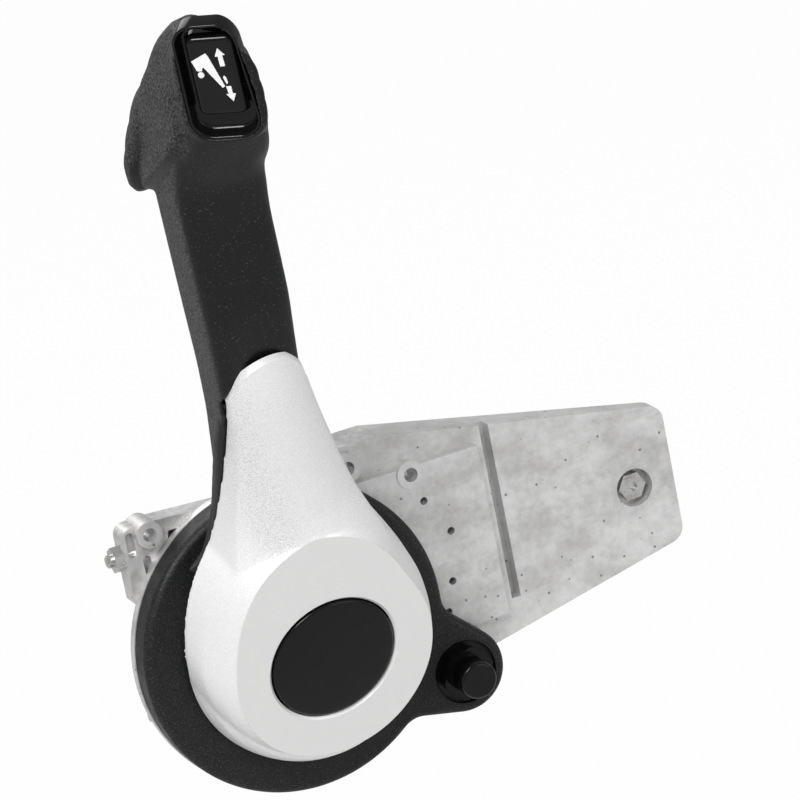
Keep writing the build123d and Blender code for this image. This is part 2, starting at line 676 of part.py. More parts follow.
def make_detent_block():
    """Block that guides the detent plunger."""
    block = slab(Pos(0, -33.5) * Rectangle(23.4, 13.0), -BEZEL_H + BEZEL_SHELL + 0.1, 0)
    block -= extrude(detent_line(DETENT_R) * Circle(PLUNGER_R + 0.05), 17.0)
    for x, z in BLOCK_SCREWS:
        block -= disc(SCREW_R, -30, 5, x, z)
    return block


def make_detent_plunger():
    """Round-nosed pin that drops into the detent wheel's notches."""
    plunger = extrude(detent_line(DETENT_R + 0.35) * Circle(PLUNGER_R), PLUNGER_L)
    return fillet(plunger.edges().sort_by(Axis.Z)[-1], 1.0)


def make_detent_spring():
    """Coil spring behind the plunger."""
    line = detent_line(DETENT_R + 0.35 + PLUNGER_L + 0.4)
    wire = line.location * Helix(pitch=1.5, height=6.0, radius=0.95)
    section = Plane(origin=wire @ 0, z_dir=wire % 0) * Circle(0.24)
    return sweep(section, path=wire)


def make_lock_plate():
    """Fixed ring with the neutral notch that belongs to the release blade."""
    profile = Circle(LOCK_R) - Circle(SHAFT_R + BUSH_WALL + 2.6)
    profile -= Pos(*polar(LOCK_R, 90 + FORWARD)) * Rectangle(6.0, NOTCH_W, rotation=90 + FORWARD)
    plate = slab(profile, -LOCK_T, 0)
    for screw in make_lock_screws():
        plate -= screw
    return plate


def make_lock_screws():
    """Countersunk screws of the lock plate."""
    return [flush_screw(-LOCK_T, WALL, x, z) for x, z in LOCK_SCREWS]


def flush_screw(y_head, y_tip, x, z):
    """Countersunk screw along Y with its head flush at y_head."""
    cone = Plane(origin=(x, y_head, z), z_dir=(0, 1, 0)) * Circle(SCREW_R + 0.8)
    return extrude(cone, 1.0) + disc(SCREW_R, y_head, y_tip, x, z)


def make_start_switch():
    """Start-in-neutral switch on the floor of the gear chamber."""
    case = slab(Pos(-22.5, -8.5) * Rectangle(6.4, 18.0, rotation=20), WALL, WALL + 9.0)
    case = fillet(case.edges().filter_by(Axis.Y), 0.8)
    return case + slab(Pos(-19.0, -7.0) * Rectangle(2.4, 3.0, rotation=20), WALL + 3.0, WALL + 6.0)


# ---- cable anchor ----
ANCHOR_SEAT_Y = DRAFT_SET + RECESS_DEPTH + WALL
ANCHOR_L = 14.0
CABLE_Y = ANCHOR_SEAT_Y + CABLE_R + 2.0


def make_cable_anchor():
    """Block with two half-round saddles that hold the cables' outer ends."""
    width = CABLE_PITCH + 2 * CABLE_R + 4.0
    block = slab(
        Pos(ANCHOR_X, ANCHOR_Z) * RectangleRounded(ANCHOR_L, width, 2.5), ANCHOR_SEAT_Y, CABLE_Y + 1.2
    )
    for side in (-1, 1):
        z = ANCHOR_Z + side * CABLE_PITCH / 2
        block -= stud_rod(ANCHOR_X - 20, ANCHOR_X + 20, CABLE_Y, z, CABLE_R)
    return block - disc(ANCHOR_BOLT_R, 0, 40, ANCHOR_X, ANCHOR_Z)


def make_anchor_bolt():
    """Bolt through the recess and the anchor, with its domed end in the recess."""
    head_y = DRAFT_SET + RECESS_DEPTH
    bolt = disc(ANCHOR_BOLT_R, head_y - 2.6, CABLE_Y + 8.0, ANCHOR_X, ANCHOR_Z)
    bolt = chamfer(bolt.edges().sort_by(Axis.Y)[-1], 0.6)
    head = slab(
        Pos(ANCHOR_X, ANCHOR_Z) * RegularPolygon(4.0, 6, major_radius=False), head_y - 3.4, head_y
    )
    return bolt + head - disc(1.6, head_y - 4, head_y - 2.2, ANCHOR_X, ANCHOR_Z)


def make_anchor_clamp():
    """Bridge plate that closes over both cables."""
    plate = slab(
        Pos(ANCHOR_X, ANCHOR_Z) * RectangleRounded(ANCHOR_L - 3, CABLE_PITCH - 2 * CABLE_R + 4, 2.0),
        CABLE_Y + 1.2,
        CABLE_Y + 3.2,
    )
    return plate - disc(ANCHOR_BOLT_R, 0, 60, ANCHOR_X, ANCHOR_Z)


def make_anchor_nut():
    """Nut on the anchor bolt."""
    rear = CABLE_Y + 3.2
    nut = slab(
        Pos(ANCHOR_X, ANCHOR_Z) * RegularPolygon(4.0, 6, major_radius=False), rear, rear + 4.0
    )
    return nut - disc(ANCHOR_BOLT_R, 0, 60, ANCHOR_X, ANCHOR_Z)


# ---- hub cover, arm and button ----
def hub_dome(grow):
    """Round hub body about the hub axis, tapering to the flat face."""
    skirt_h = BEZEL_H + SKIRT_GAP
    profile = [(SKIRT_R, skirt_h), (SKIRT_R - 0.3, 20), (34.8, 28), (33.4, 37), (32.0, 50), (0, 50)]
    points = [(0, skirt_h)] + [(max(r + grow, 0), h) if r else (0, h) for r, h in profile]
    half = Plane(origin=(0, 0, 0), x_dir=(1, 0, 0), z_dir=(0, 0, 1))
    face = half * make_face(Polyline(*[(r, -h) for r, h in points], close=True))
    return revolve(face, Axis.Y)


def neck_section(t, half, foot, crown, low):
    """Arched section across the lever: crowned front, sides that open towards the panel."""
    shoulder = crown - half * 0.42
    left = Polyline((-foot, low), (-half, shoulder))
    right = Polyline((half, shoulder), (foot, low))
    arc = ThreePointArc((-half, shoulder), (0, crown), (half, shoulder))
    return lever_section(t) * make_face([left, arc, right, Line((foot, low), (-foot, low))])


NECK_STATIONS = [
    # height, half width at the shoulder, half width at the low edge, crown, low edge
    (10.0, 30.0, 31.0, 4.0, -33.0),
    (30.0, 25.0, 26.5, 2.4, -28.5),
    (50.0, 20.0, 21.4, -0.8, -21.5),
    (66.0, 16.4, 17.4, -1.4, -16.5),
    (84.0, 13.0, 13.7, -0.8, -12.0),
    (GRIP_LAP, 11.7, 12.1, 0.2, -7.2),
    (NECK_TOP + 2.0, 11.4, 11.8, 1.2, -7.2),
]


def neck_body(grow, drop):
    """Neck of the hub cover as a loft up the lever, its low edge moved by drop."""
    stations = [
        neck_section(t, half + grow, foot + grow, crown + grow, low - drop)
        for t, half, foot, crown, low in NECK_STATIONS
    ]
    return loft(stations)


def arch_end(grow):
    """Everything below the arched upper end of the hub cover."""
    profile = Pos(0, GRIP_LAP - 75) * Rectangle(120, 150)
    profile += Pos(0, GRIP_LAP) * Ellipse(12.8 + grow, NECK_TOP - GRIP_LAP + grow)
    return lever_slab(profile, -70, 30)


def face_cutter(level=0.0):
    """Everything beyond the tilted flat face, at the hub only."""
    return lever_slab(Circle(46), level, level + 40)


COVER_SCREW_POINTS = [(-25.0, -12.0), (25.0, -12.0)]
ARM_REAR_Y = -BEZEL_H - SKIRT_GAP - 0.3
ARM_PLATE_T = 3.8


def make_hub_cover():
    """Silver shell: round hub with a flat face, and a neck that laps over the grip."""
    outer = hub_dome(0.0) + (neck_body(0.0, 0.0) & arch_end(0.0))
    outer -= face_cutter()
    outer -= disc(80, -BEZEL_H - SKIRT_GAP, 40)
    inner = hub_dome(-COVER_WALL) + neck_body(-COVER_WALL, 10.0)
    inner -= face_cutter(-COVER_WALL)
    shell = outer - inner
    for x, z in COVER_SCREW_POINTS:
        shell += disc(3.4, -40, ARM_REAR_Y - ARM_PLATE_T - 0.2, x, z) & outer
        shell -= disc(SCREW_R, ARM_REAR_Y - 10.0, 0, x, z)
    return shell - lever_slab(Circle(CAP_R + CAP_GAP), -10, 10)


def arm_edge():
    """Flange of the arm that follows the low edge of the hub cover's neck."""
    stations = []
    for t, _, foot, _, low in NECK_STATIONS[1:-1]:
        profile = Pos(0, low - 0.3 - ARM_LIP / 2) * RectangleRounded(2 * foot, ARM_LIP, 1.4)
        stations.append(lever_section(t) * profile)
    return loft(stations)


def arm_spine():
    """Deeper middle of the arm, between the flange's sides."""
    stations = []
    for t, half, low, high in ((20, 15.0, -37, -22), (50, 11.0, -32, -14), (70, 9.0, -22.4, -9)):
        profile = Pos(0, (low + high) / 2) * RectangleRounded(2 * half, high - low, 3)
        stations.append(lever_section(t) * profile)
    return loft(stations)


def make_lever_arm():
    """Cast arm: clamp boss on the hub shaft, flange up the neck and tang into the grip."""
    arm = disc(ARM_BOSS_R, SHAFT_FRONT_Y - 4.0, -BEZEL_H - 1.0)
    arm += disc(SKIRT_R - COVER_WALL - 1.2, ARM_REAR_Y - ARM_PLATE_T, ARM_REAR_Y)
    web = arm_edge() + arm_spine()
    web -= disc(CAP_R + 4, -60, SHAFT_FRONT_Y - 4.0)
    web -= disc(80, ARM_REAR_Y, 20)
    arm += web
    arm += lever_bar(Pos(0, TANG_S) * Rectangle(TANG_W, TANG_T), 66, TANG_END)
    arm -= disc(SHAFT_R, SHAFT_FRONT_Y, 0)
    arm -= disc(ROD_HEAD_R + 0.6, -60, SHAFT_FRONT_Y)
    arm -= lever_bar(Pos(0, RELEASE_S) * Circle(RELEASE_ROD_R + 0.4), 14, TANG_END + 30)
    arm -= blade_room()
    arm -= lever_slab(Circle(CAP_R + 1.0), -CAP_T - BUTTON_TRAVEL - 1.0, 20)
    for x, z in COVER_SCREW_POINTS:
        arm -= disc(SCREW_R + 0.2, -40, 0, x, z)
        arm -= disc(SCREW_R * 1.85 + 0.2, ARM_REAR_Y - SCREW_HEAD_H, 0, x, z)
    return arm


def blade_shape():
    """Flat blade from the release rod's foot towards the lock plate."""
    foot = LEVER.from_local_coords((0, BLADE_T, RELEASE_S))
    return slab(Pos(0, foot.Z) * Rectangle(BLADE_W, BLADE_W), foot.Y, -LOCK_T - 0.5)


def blade_room():
    """Slot through the arm that the blade needs over its lift."""
    foot = LEVER.from_local_coords((0, BLADE_T, RELEASE_S))
    slot = Rectangle(BLADE_W + 1.6, BLADE_W + RELEASE_TRAVEL + 2.0)
    return slab(Pos(0, foot.Z + RELEASE_TRAVEL / 2) * slot, foot.Y - 6.0, 0)


def make_throttle_button():
    """Round button in the flat face, with its stem."""
    cap = lever_slab(Circle(CAP_R), CAP_PROUD - CAP_T, CAP_PROUD)
    rim = cap.edges().filter_by(GeomType.CIRCLE).sort_by(Axis.Y)
    return fillet(rim[0], 0.9) + lever_slab(Circle(STEM_R), -12.9, CAP_PROUD - CAP_T)


def make_declutch_rod():
    """Push rod through the hollow shaft, with a broad head under the button's stem."""
    front = SHAFT_FRONT_Y - ROD_HEAD_T - BUTTON_TRAVEL - 0.3
    rod = disc(ROD_HEAD_R, front, front + ROD_HEAD_T)
    return rod + disc(ROD_R, front + ROD_HEAD_T, SHAFT_REAR_Y)


def make_cover_clip_screws():
    """Two screws that hold the hub cover to the arm's plate from behind."""
    return [cap_screw(ARM_REAR_Y, ARM_REAR_Y - 9.5, x, z, facing=1) for x, z in COVER_SCREW_POINTS]


# ---- grip and trim switch ----
GRIP_STATIONS = [
    # height, corner radius, then the corners (x, s): front left, front right, back right, back left
    (GRIP_START, 5.0, ((-12.5, -4.0), (12.5, -4.0), (12.5, -23.0), (-12.5, -23.0))),
    (108.0, 5.0, ((-12.9, -1.4), (12.9, -1.4), (12.9, -21.5), (-12.9, -21.5))),
    (130.0, 5.0, ((-13.4, 0.5), (13.4, 0.5), (13.4, -20.6), (-13.4, -20.6))),
    (160.0, 5.0, ((-13.4, 0.9), (13.4, 0.9), (13.4, -20.6), (-13.4, -20.6))),
    (176.0, 5.0, ((-13.4, 0.5), (14.0, 3.5), (12.8, -21.5), (-13.0, -21.5))),
    (190.0, 5.0, ((-12.5, 4.5), (13.9, 17.0), (13.0, -22.0), (-12.6, -22.0))),
    (204.0, 5.0, ((-11.5, 8.5), (13.6, 26.0), (12.0, -20.0), (-11.5, -20.0))),
    (218.0, 5.0, ((-11.3, 8.6), (13.4, 25.8), (10.5, -16.0), (-10.5, -16.0))),
    (229.0, 4.5, ((-8.8, 8.0), (10.8, 21.4), (8.0, -8.0), (-8.0, -8.0))),
    (234.5, 2.0, ((-4.5, 7.5), (5.0, 14.0), (4.0, 0.0), (-4.0, 0.0))),
]
LUMP_STATIONS = [
    # height, x, s, half width, half depth
    (163.5, -1.5, -26.5, 8.0, 4.0),
    (167.0, -1.5, -27.0, 12.2, 7.0),
    (174.0, -1.5, -27.0, 14.3, 9.2),
    (185.0, -1.5, -24.0, 12.6, 11.0),
    (200.0, -0.5, -17.0, 10.6, 11.0),
    (214.0, 0.0, -9.0, 8.4, 9.5),
]


BROW_T, BROW_SLOPE = 229.4, 0.73  # top of the head at s = 0, and how it rises towards the front


def trim_plane(level):
    """Plane parallel to the trim rocker's face, at a level above it, local y up the lever."""
    centre = Plane(
        origin=LEVER.from_local_coords((TRIM_X, TRIM_T, TRIM_S)), x_dir=LEVER.x_dir, z_dir=LEVER.z_dir
    )
    return Plane(centre.location * Rot(0, -TRIM_TURN, 0)).offset(level)


def trim_slab(profile, low, high):
    """Solid square to the trim rocker's face."""
    return extrude(trim_plane(low) * profile, high - low)


def pocket_profile(inset=0.0):
    """Outline of the trim switch pocket."""
    return Pos(0, -POCKET_DOWN) * RectangleRounded(POCKET_W - 2 * inset, POCKET_L - 2 * inset, 5.0 - inset)


def make_lever_grip():
    """Moulded grip with its head, the overhang behind and the trim switch pocket."""
    body = []
    for t, corner, points in GRIP_STATIONS:
        outline = make_face(Polyline(*points, close=True))
        body.append(lever_section(t) * fillet(outline.vertices(), corner))
    grip = loft(body, ruled=True)
    grip -= lever_side([(14, GRIP_LAP - 0.5), (-6, GRIP_LAP - 0.5), (-20, 72), (-40, 35), (-40, 0), (14, 0)], 30)
    grip -= neck_body(0.3, 0.3 + ARM_LIP + 0.6) & arch_end(0.3)
    lump = [lever_section(t) * (Pos(x, s) * Ellipse(rx, rs)) for t, x, s, rx, rs in LUMP_STATIONS]
    grip += loft(lump, ruled=True)
    brow = [(s, BROW_T + BROW_SLOPE * s) for s in (40, -35)]
    grip -= lever_side([*brow, (-35, 270), (40, 270)], 30)
    grip -= trim_slab(pocket_profile(), POCKET_FLOOR - FRAME_FLOOR, 20)
    opening = Rectangle(ROCKER_W + 2 * ROCKER_GAP, ROCKER_L + 2 * ROCKER_END_GAP)
    grip -= trim_slab(opening, SWITCH_TOP, 0)
    grip -= trim_slab(Rectangle(SWITCH_W, SWITCH_L), SWITCH_TOP - SWITCH_DEPTH, 0)
    grip -= lever_bar(Pos(0, TANG_S) * Rectangle(TANG_W, TANG_T), 0, TANG_END)
    grip -= lever_bar(Pos(0, RELEASE_S) * Circle(RELEASE_ROD_R + 0.4), 0, RELEASE_BAR_T + 3)
    room = Pos(0, -22.8) * Rectangle(RELEASE_BAR_W + 1.0, 18.0)
    grip -= lever_bar(room, RELEASE_BAR_T - 0.5, RELEASE_BAR_T + RELEASE_BAR_H + RELEASE_TRAVEL + 0.6)
    mouth = Pos(0, -26.4) * Rectangle(RELEASE_BAR_W + 1.0, 10.8)
    grip -= lever_bar(mouth, 150, RELEASE_BAR_T)
    return grip


def make_trim_frame():
    """Glossy tray that lines the pocket."""
    floor = POCKET_FLOOR - FRAME_FLOOR
    frame = trim_slab(pocket_profile(), floor, POCKET_RIM - 0.4)
    frame -= trim_slab(pocket_profile(FRAME_WALL), POCKET_FLOOR, 10)
    opening = RectangleRounded(ROCKER_W + 2 * ROCKER_GAP, ROCKER_L + 2 * ROCKER_END_GAP, 2.6)
    return frame - trim_slab(opening, floor - 1, 1)


def make_trim_switch_body():
    """Switch body under the rocker, in the head."""
    return trim_slab(Rectangle(SWITCH_W, SWITCH_L), SWITCH_TOP - SWITCH_DEPTH, SWITCH_TOP)


def make_trim_rocker():
    """Rocker with softened edges."""
    rocker = trim_slab(RectangleRounded(ROCKER_W, ROCKER_L, 2.4), ROCKER_FOOT, 0)
    top = trim_plane(0).location.position
    face = min(rocker.faces(), key=lambda f: (f.center() - top).length)
    rocker = fillet(face.edges(), 0.8)
    return rocker + trim_plane(ROCKER_AXIS) * (Rot(0, 90, 0) * Cylinder(ROCKER_PIN_R, ROCKER_W))


def make_neutral_release():
    """Finger bar behind the grip, under the overhang."""
    bar = Pos(0, -22.6) * RectangleRounded(RELEASE_BAR_W, 16.6, 2.5)
    return lever_bar(bar, RELEASE_BAR_T, RELEASE_BAR_T + RELEASE_BAR_H)


def make_release_rod():
    """Rod from the bar down to the hub, with a blade at its foot."""
    rod = lever_bar(Pos(0, RELEASE_S) * Circle(RELEASE_ROD_R), BLADE_T, RELEASE_BAR_T)
    return rod + blade_shape()


# ---- assembly ----
def build_nodes():
    """Every node by name."""
    nodes = {
        "front_housing": make_front_housing(),
        "rear_cover": make_rear_cover(),
        "rear_cover_screws": make_cover_screws(),
        "front_bush": make_front_bush(),
        "rear_bush": make_rear_bush(),
        "pivot_bushes": make_pivot_bushes(),
        "bezel": make_bezel(),
        "bezel_screws": [cap_screw(FLANGE_T + SCREW_HEAD_H, -4.5, x, z, facing=1) for x, z in BEZEL_SCREWS],
        "stop_switch_body": make_stop_switch_body(),
        "stop_switch_nut": make_stop_switch_nut(),
        "stop_switch_washer": make_stop_switch_washer(),
        "stop_plunger": make_stop_plunger(),
        "adjuster_stud": make_adjuster_stud(),
        "adjuster_nut": make_adjuster_nut(),
        "low_set_screw": make_low_screw(),
        "lock_plate": make_lock_plate(),
        "lock_plate_screws": make_lock_screws(),
        "detent_block": make_detent_block(),
        "detent_block_screws": [
            cap_screw(WALL + SCREW_HEAD_H, -4.0, x, z, facing=1) for x, z in BLOCK_SCREWS
        ],
        "detent_plunger": make_detent_plunger(),
        "detent_spring": make_detent_spring(),
        "start_switch": make_start_switch(),
        "cable_anchor": make_cable_anchor(),
        "anchor_clamp": make_anchor_clamp(),
        "anchor_bolt": make_anchor_bolt(),
        "anchor_nut": make_anchor_nut(),
        "shift_sector": sector(SHIFT_PIVOT, SHIFT_AXIS_ANGLE, SHIFT_GEAR_Y),
        "shift_shaft": make_pivot_shaft(SHIFT_PIVOT, SHIFT_SHAFT_Y, SHIFT_ARM_Y),
        "shift_arm": make_arm(SHIFT_PIVOT, SHIFT_ARM_L, SHIFT_ARM_Y),
        "shift_cable_pin": make_cable_pin(SHIFT_PIVOT, SHIFT_ARM_L, SHIFT_ARM_Y),
        "shift_ring": make_ring(SHIFT_PIVOT, SHIFT_ARM_Y),
        "throttle_sector": sector(THROTTLE_PIVOT, THROTTLE_AXIS_ANGLE, THROTTLE_GEAR_Y),
        "throttle_shaft": make_pivot_shaft(THROTTLE_PIVOT, THROTTLE_SHAFT_Y, THROTTLE_ARM_Y),
        "throttle_arm": make_arm(THROTTLE_PIVOT, THROTTLE_ARM_L, THROTTLE_ARM_Y),
        "throttle_cable_pin": make_cable_pin(THROTTLE_PIVOT, THROTTLE_ARM_L, THROTTLE_ARM_Y),
        "throttle_ring": make_ring(THROTTLE_PIVOT, THROTTLE_ARM_Y),
        "hub_shaft": make_hub_shaft(),
        "drive_gear": make_drive_gear(),
        "gear_key": key_shape(),
        "shaft_ring": make_shaft_ring(),
        "detent_wheel": make_detent_wheel(),
    }
    lever_nodes = {
        "hub_cover": make_hub_cover(),
        "hub_cover_screws": make_cover_clip_screws(),
        "lever_arm": make_lever_arm(),
        "throttle_only_button": make_throttle_button(),
        "declutch_rod": make_declutch_rod(),
        "lever_grip": make_lever_grip(),
        "trim_frame": make_trim_frame(),
        "trim_switch_body": make_trim_switch_body(),
        "trim_rocker": make_trim_rocker(),
        "neutral_release": make_neutral_release(),
        "release_rod": make_release_rod(),
    }
    for name, shape in lever_nodes.items():
        if isinstance(shape, list):
            nodes[name] = [LEVER_TURN * piece for piece in shape]
        else:
            nodes[name] = LEVER_TURN * shape
    return nodes


os.makedirs("parts", exist_ok=True)
for name, shape in build_nodes().items():
    solid = Compound(children=list(shape)) if isinstance(shape, list) else shape
    export_step(solid, f"parts/{name}.step")
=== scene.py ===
"""Looks of the side-mount boat control: finishes, the lever's grip and switch, and the studio.

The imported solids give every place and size. Here the soft-skinned grip, the silver cover, the
arm's blade, the button's cap, the trim switch and its printed marks are built as numpy surfaces
in the lever's own axes, and every node gets a procedural finish. Lengths are written in
millimetres in those axes, and Axes turns them to metres in the shared frame.
"""

import json
import logging
import math
from dataclasses import dataclass
from enum import Enum

import bpy
import numpy as np
from mathutils import Matrix


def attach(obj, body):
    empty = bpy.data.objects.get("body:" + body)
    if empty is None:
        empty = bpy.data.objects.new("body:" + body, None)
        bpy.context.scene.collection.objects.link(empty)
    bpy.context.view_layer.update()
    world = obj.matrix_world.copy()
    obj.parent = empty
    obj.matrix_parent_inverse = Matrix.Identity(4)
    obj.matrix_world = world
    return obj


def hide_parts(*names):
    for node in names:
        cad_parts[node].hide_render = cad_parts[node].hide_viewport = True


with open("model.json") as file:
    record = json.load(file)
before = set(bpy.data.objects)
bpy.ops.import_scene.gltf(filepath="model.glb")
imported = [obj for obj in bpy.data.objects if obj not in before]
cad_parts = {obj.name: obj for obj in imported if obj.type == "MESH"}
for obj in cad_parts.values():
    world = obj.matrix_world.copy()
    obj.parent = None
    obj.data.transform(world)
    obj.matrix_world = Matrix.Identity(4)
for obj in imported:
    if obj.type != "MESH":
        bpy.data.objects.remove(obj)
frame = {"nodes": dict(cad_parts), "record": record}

Array = np.ndarray
Object = bpy.types.Object
Mesh = bpy.types.Mesh
Material = bpy.types.Material
Socket = bpy.types.NodeSocket
Pair = tuple[float, float]
Triple = tuple[float, float, float]
Four = tuple[float, float, float, float]

MM = 0.001
log = logging.getLogger("boat_control")


# ---- axes ----


def unit(vector: Array) -> Array:
    """Returns the vector scaled to length one, along its last axis."""
    return vector / np.linalg.norm(vector, axis=-1, keepdims=True)


@dataclass(frozen=True)
class Axes:
    """A place with three directions, in which shapes are written in millimetres."""

    origin: Triple
    across: Triple
    along: Triple
    out: Triple

    def matrix(self) -> Array:
        """Returns the three directions as the rows of a matrix."""
        return np.array([self.across, self.along, self.out])

    def place(self, points: Array) -> Array:
        """Turns local points into the shared frame.

        Args:
            points: any array whose last axis is (across, along, out), in millimetres.

        Returns:
            The same points in the frame, in metres: origin plus each number times its direction.
        """
        return (np.asarray(points, float) @ self.matrix() + np.array(self.origin)) * MM

    def local(self, points: Array) -> Array:
        """Turns points of the shared frame, in metres, into local millimetres."""
        return (np.asarray(points, float) / MM - np.array(self.origin)) @ self.matrix().T


def lever_axes(lean: float = 18.0, forward: float = 7.3, face: float = -37.5) -> Axes:
    """Returns the lever's axes: across the flat face, up the lever, and out of the face.

    Args:
        lean: degrees that the lever leans out from the panel.
        forward: degrees that it stands forward of upright at rest.
        face: where the flat face's centre is along Y, in millimetres.

    Returns:
        The axes, whose origin is the centre of the flat face.
    """
    a, b = math.radians(lean), math.radians(forward)
    return Axes(
        (0.0, face, 0.0),
        (math.cos(b), 0.0, math.sin(b)),
        (-math.sin(b) * math.cos(a), -math.sin(a), math.cos(b) * math.cos(a)),
        (math.sin(b) * math.sin(a), -math.cos(a), -math.cos(b) * math.sin(a)),
    )


def trim_axes(lever: Axes, along: float = 218.0, out: float = 16.0, turn: float = 35.0) -> Axes:
    """Returns the trim rocker's axes: the lever's, moved up it and turned towards its front edge.

    Args:
        lever: the lever's axes.
        along: how far up the lever the rocker's centre is, in millimetres.
        out: how far out of the flat face's plane its top is, in millimetres.
        turn: degrees that its face is turned about the lever.

    Returns:
        The axes, whose origin is the centre of the rocker's top.
    """
    x, y, z = lever.matrix()
    a = math.radians(turn)
    origin = np.array(lever.origin) + along * y + out * z
    return Axes(
        tuple(origin),
        tuple(math.cos(a) * x + math.sin(a) * z),
        tuple(y),
        tuple(-math.sin(a) * x + math.cos(a) * z),
    )


LEVER = lever_axes()
TRIM = trim_axes(LEVER)
BROW_LEAN, BROW_SLOPE = 0.33, 0.73


# ---- numpy surfaces ----


def smoothstep(low: float, high: float, value: Array) -> Array:
    """Returns 0 below low, 1 above high and a smooth cubic rise between: 3k^2 - 2k^3."""
    k = np.clip((value - low) / (high - low), 0.0, 1.0)
    return k * k * (3.0 - 2.0 * k)


def rounded_outline(width: Array, length: Array, radius: Array, count: int) -> Array:
    """Works out rounded rectangles with the same number of points each.

    A point at angle a lies on the corner circle of its quadrant: the circle's centre is the
    half size less the radius, and the point is radius times (cos a, sin a) from it. The angles
    are spread evenly within each quadrant, so the straight sides are single steps.

    Args:
        width: sizes across, one per outline.
        length: sizes along, one per outline.
        radius: corner radii, one per outline.
        count: points on each outline, a multiple of four.

    Returns:
        An array of outlines, points, (across, along).
    """
    part = np.linspace(0.0, math.pi / 2, count // 4)
    angle = np.concatenate([part + q * math.pi / 2 for q in range(4)])
    sign_x = np.sign(np.cos(np.repeat([0.25, 0.75, 1.25, 1.75], count // 4) * math.pi))
    sign_y = np.sign(np.sin(np.repeat([0.25, 0.75, 1.25, 1.75], count // 4) * math.pi))
    width, length, radius = (np.asarray(v, float)[:, None] for v in (width, length, radius))
    across = sign_x * (width / 2 - radius) + radius * np.cos(angle)
    along = sign_y * (length / 2 - radius) + radius * np.sin(angle)
    return np.stack([across, along], axis=-1)


def blurred_round(rows: Array, reach: float, axis: int) -> Array:
    """Rounds closed rows of points off with a bell-shaped moving average along them.

    The average runs round the closed row as a product of Fourier terms: each term of order k
    is scaled by exp(-(k * reach)^2 / 2).

    Args:
        rows: points, with the closed direction on the given axis.
        reach: width of the bell, as a part of the whole turn times two pi.
        axis: the closed direction.

    Returns:
        The rounded rows.
    """
    count = rows.shape[axis]
    order = np.fft.fftfreq(count, 1.0 / count)
    shape = [1] * rows.ndim
    shape[axis] = count
    weight = np.exp(-0.5 * (order * reach) ** 2).reshape(shape)
    return np.fft.ifft(np.fft.fft(rows, axis=axis) * weight, axis=axis).real


def bell_smooth(values: Array, steps: int) -> Array:
    """Smooths an open run of numbers along axis 0 with a bell of that many steps each side.

    Each number becomes the mean of its neighbours weighted by 1 + cos of their distance. The
    ends are carried on at their own slope, so they stay where they are.
    """
    reach = np.arange(-steps, steps + 1)
    weight = 1.0 + np.cos(math.pi * reach / (steps + 1))
    weight /= weight.sum()
    head = 2 * values[:1] - values[steps:0:-1]
    tail = 2 * values[-1:] - values[-2:-steps - 2:-1]
    padded = np.concatenate([head, values, tail])
    window = np.lib.stride_tricks.sliding_window_view(padded, 2 * steps + 1, axis=0)
    return window @ weight


def smoothed_columns(table: tuple, rows: int, steps: int) -> tuple[Array, Array]:
    """Spreads a table of stations over evenly spaced rows.

    Args:
        table: stations, whose first number rises from one to the next.
        rows: how many rows to work out.
        steps: how many rows each side are averaged into one.

    Returns:
        The first number of each row, and an array of the others, interpolated and smoothed.
    """
    table = np.array(table, float)
    first = np.linspace(table[0, 0], table[-1, 0], rows)
    columns = np.stack([np.interp(first, table[:, 0], column) for column in table[:, 1:].T], -1)
    return first, bell_smooth(columns, steps)


def rings(across: Array, along: Array, out: Array) -> Array:
    """Stacks three arrays that spread over one another into rings of points."""
    return np.stack(np.broadcast_arrays(across, along, out), -1)


def seen_slanted(points: Array) -> tuple[Array, Array]:
    """Returns where the lever's points are seen along the slanted line of its brow.

    They are seen at v = x + lean * s to the right and u = t - slope * s up.
    """
    return (
        points[:, 0] + BROW_LEAN * points[:, 2],
        points[:, 1] - BROW_SLOPE * points[:, 2],
    )


def farthest_by(bins: Array, values: Array, count: int, least: float = 0.0) -> Array:
    """Returns the largest value in each numbered bin, and at least the given one."""
    farthest = np.full(count, least)
    np.maximum.at(farthest, bins, values)
    return farthest


def grid_object(name: str, rows: Array, closed_ends: bool = True, sharp: float = 60.0) -> Object:
    """Makes a mesh object from a grid of points whose rows are closed rings.

    Args:
        name: the object's name.
        rows: rings, points, xyz, in metres in the shared frame.
        closed_ends: whether a fan of triangles closes the first and last ring.
        sharp: degrees between faces above which an edge stays sharp.

    Returns:
        The object, linked to the scene, with its faces outwards.
    """
    number, count, _ = rows.shape
    points = rows.reshape(-1, 3)
    i, j = np.meshgrid(np.arange(number - 1), np.arange(count), indexing="ij")
    k = (j + 1) % count
    faces = np.stack([i * count + j, i * count + k, (i + 1) * count + k, (i + 1) * count + j], -1)
    faces = faces.reshape(-1, 4).tolist()
    if closed_ends:
        centres = np.stack([rows[0].mean(0), rows[-1].mean(0)])
        points = np.concatenate([points, centres])
        a, b = np.arange(count), (np.arange(count) + 1) % count
        first, last = number * count, number * count + 1
        end = (number - 1) * count
        faces += np.stack([b, a, np.full(count, first)], -1).tolist()
        faces += np.stack([end + a, end + b, np.full(count, last)], -1).tolist()
    return mesh_object(name, points, faces, sharp)


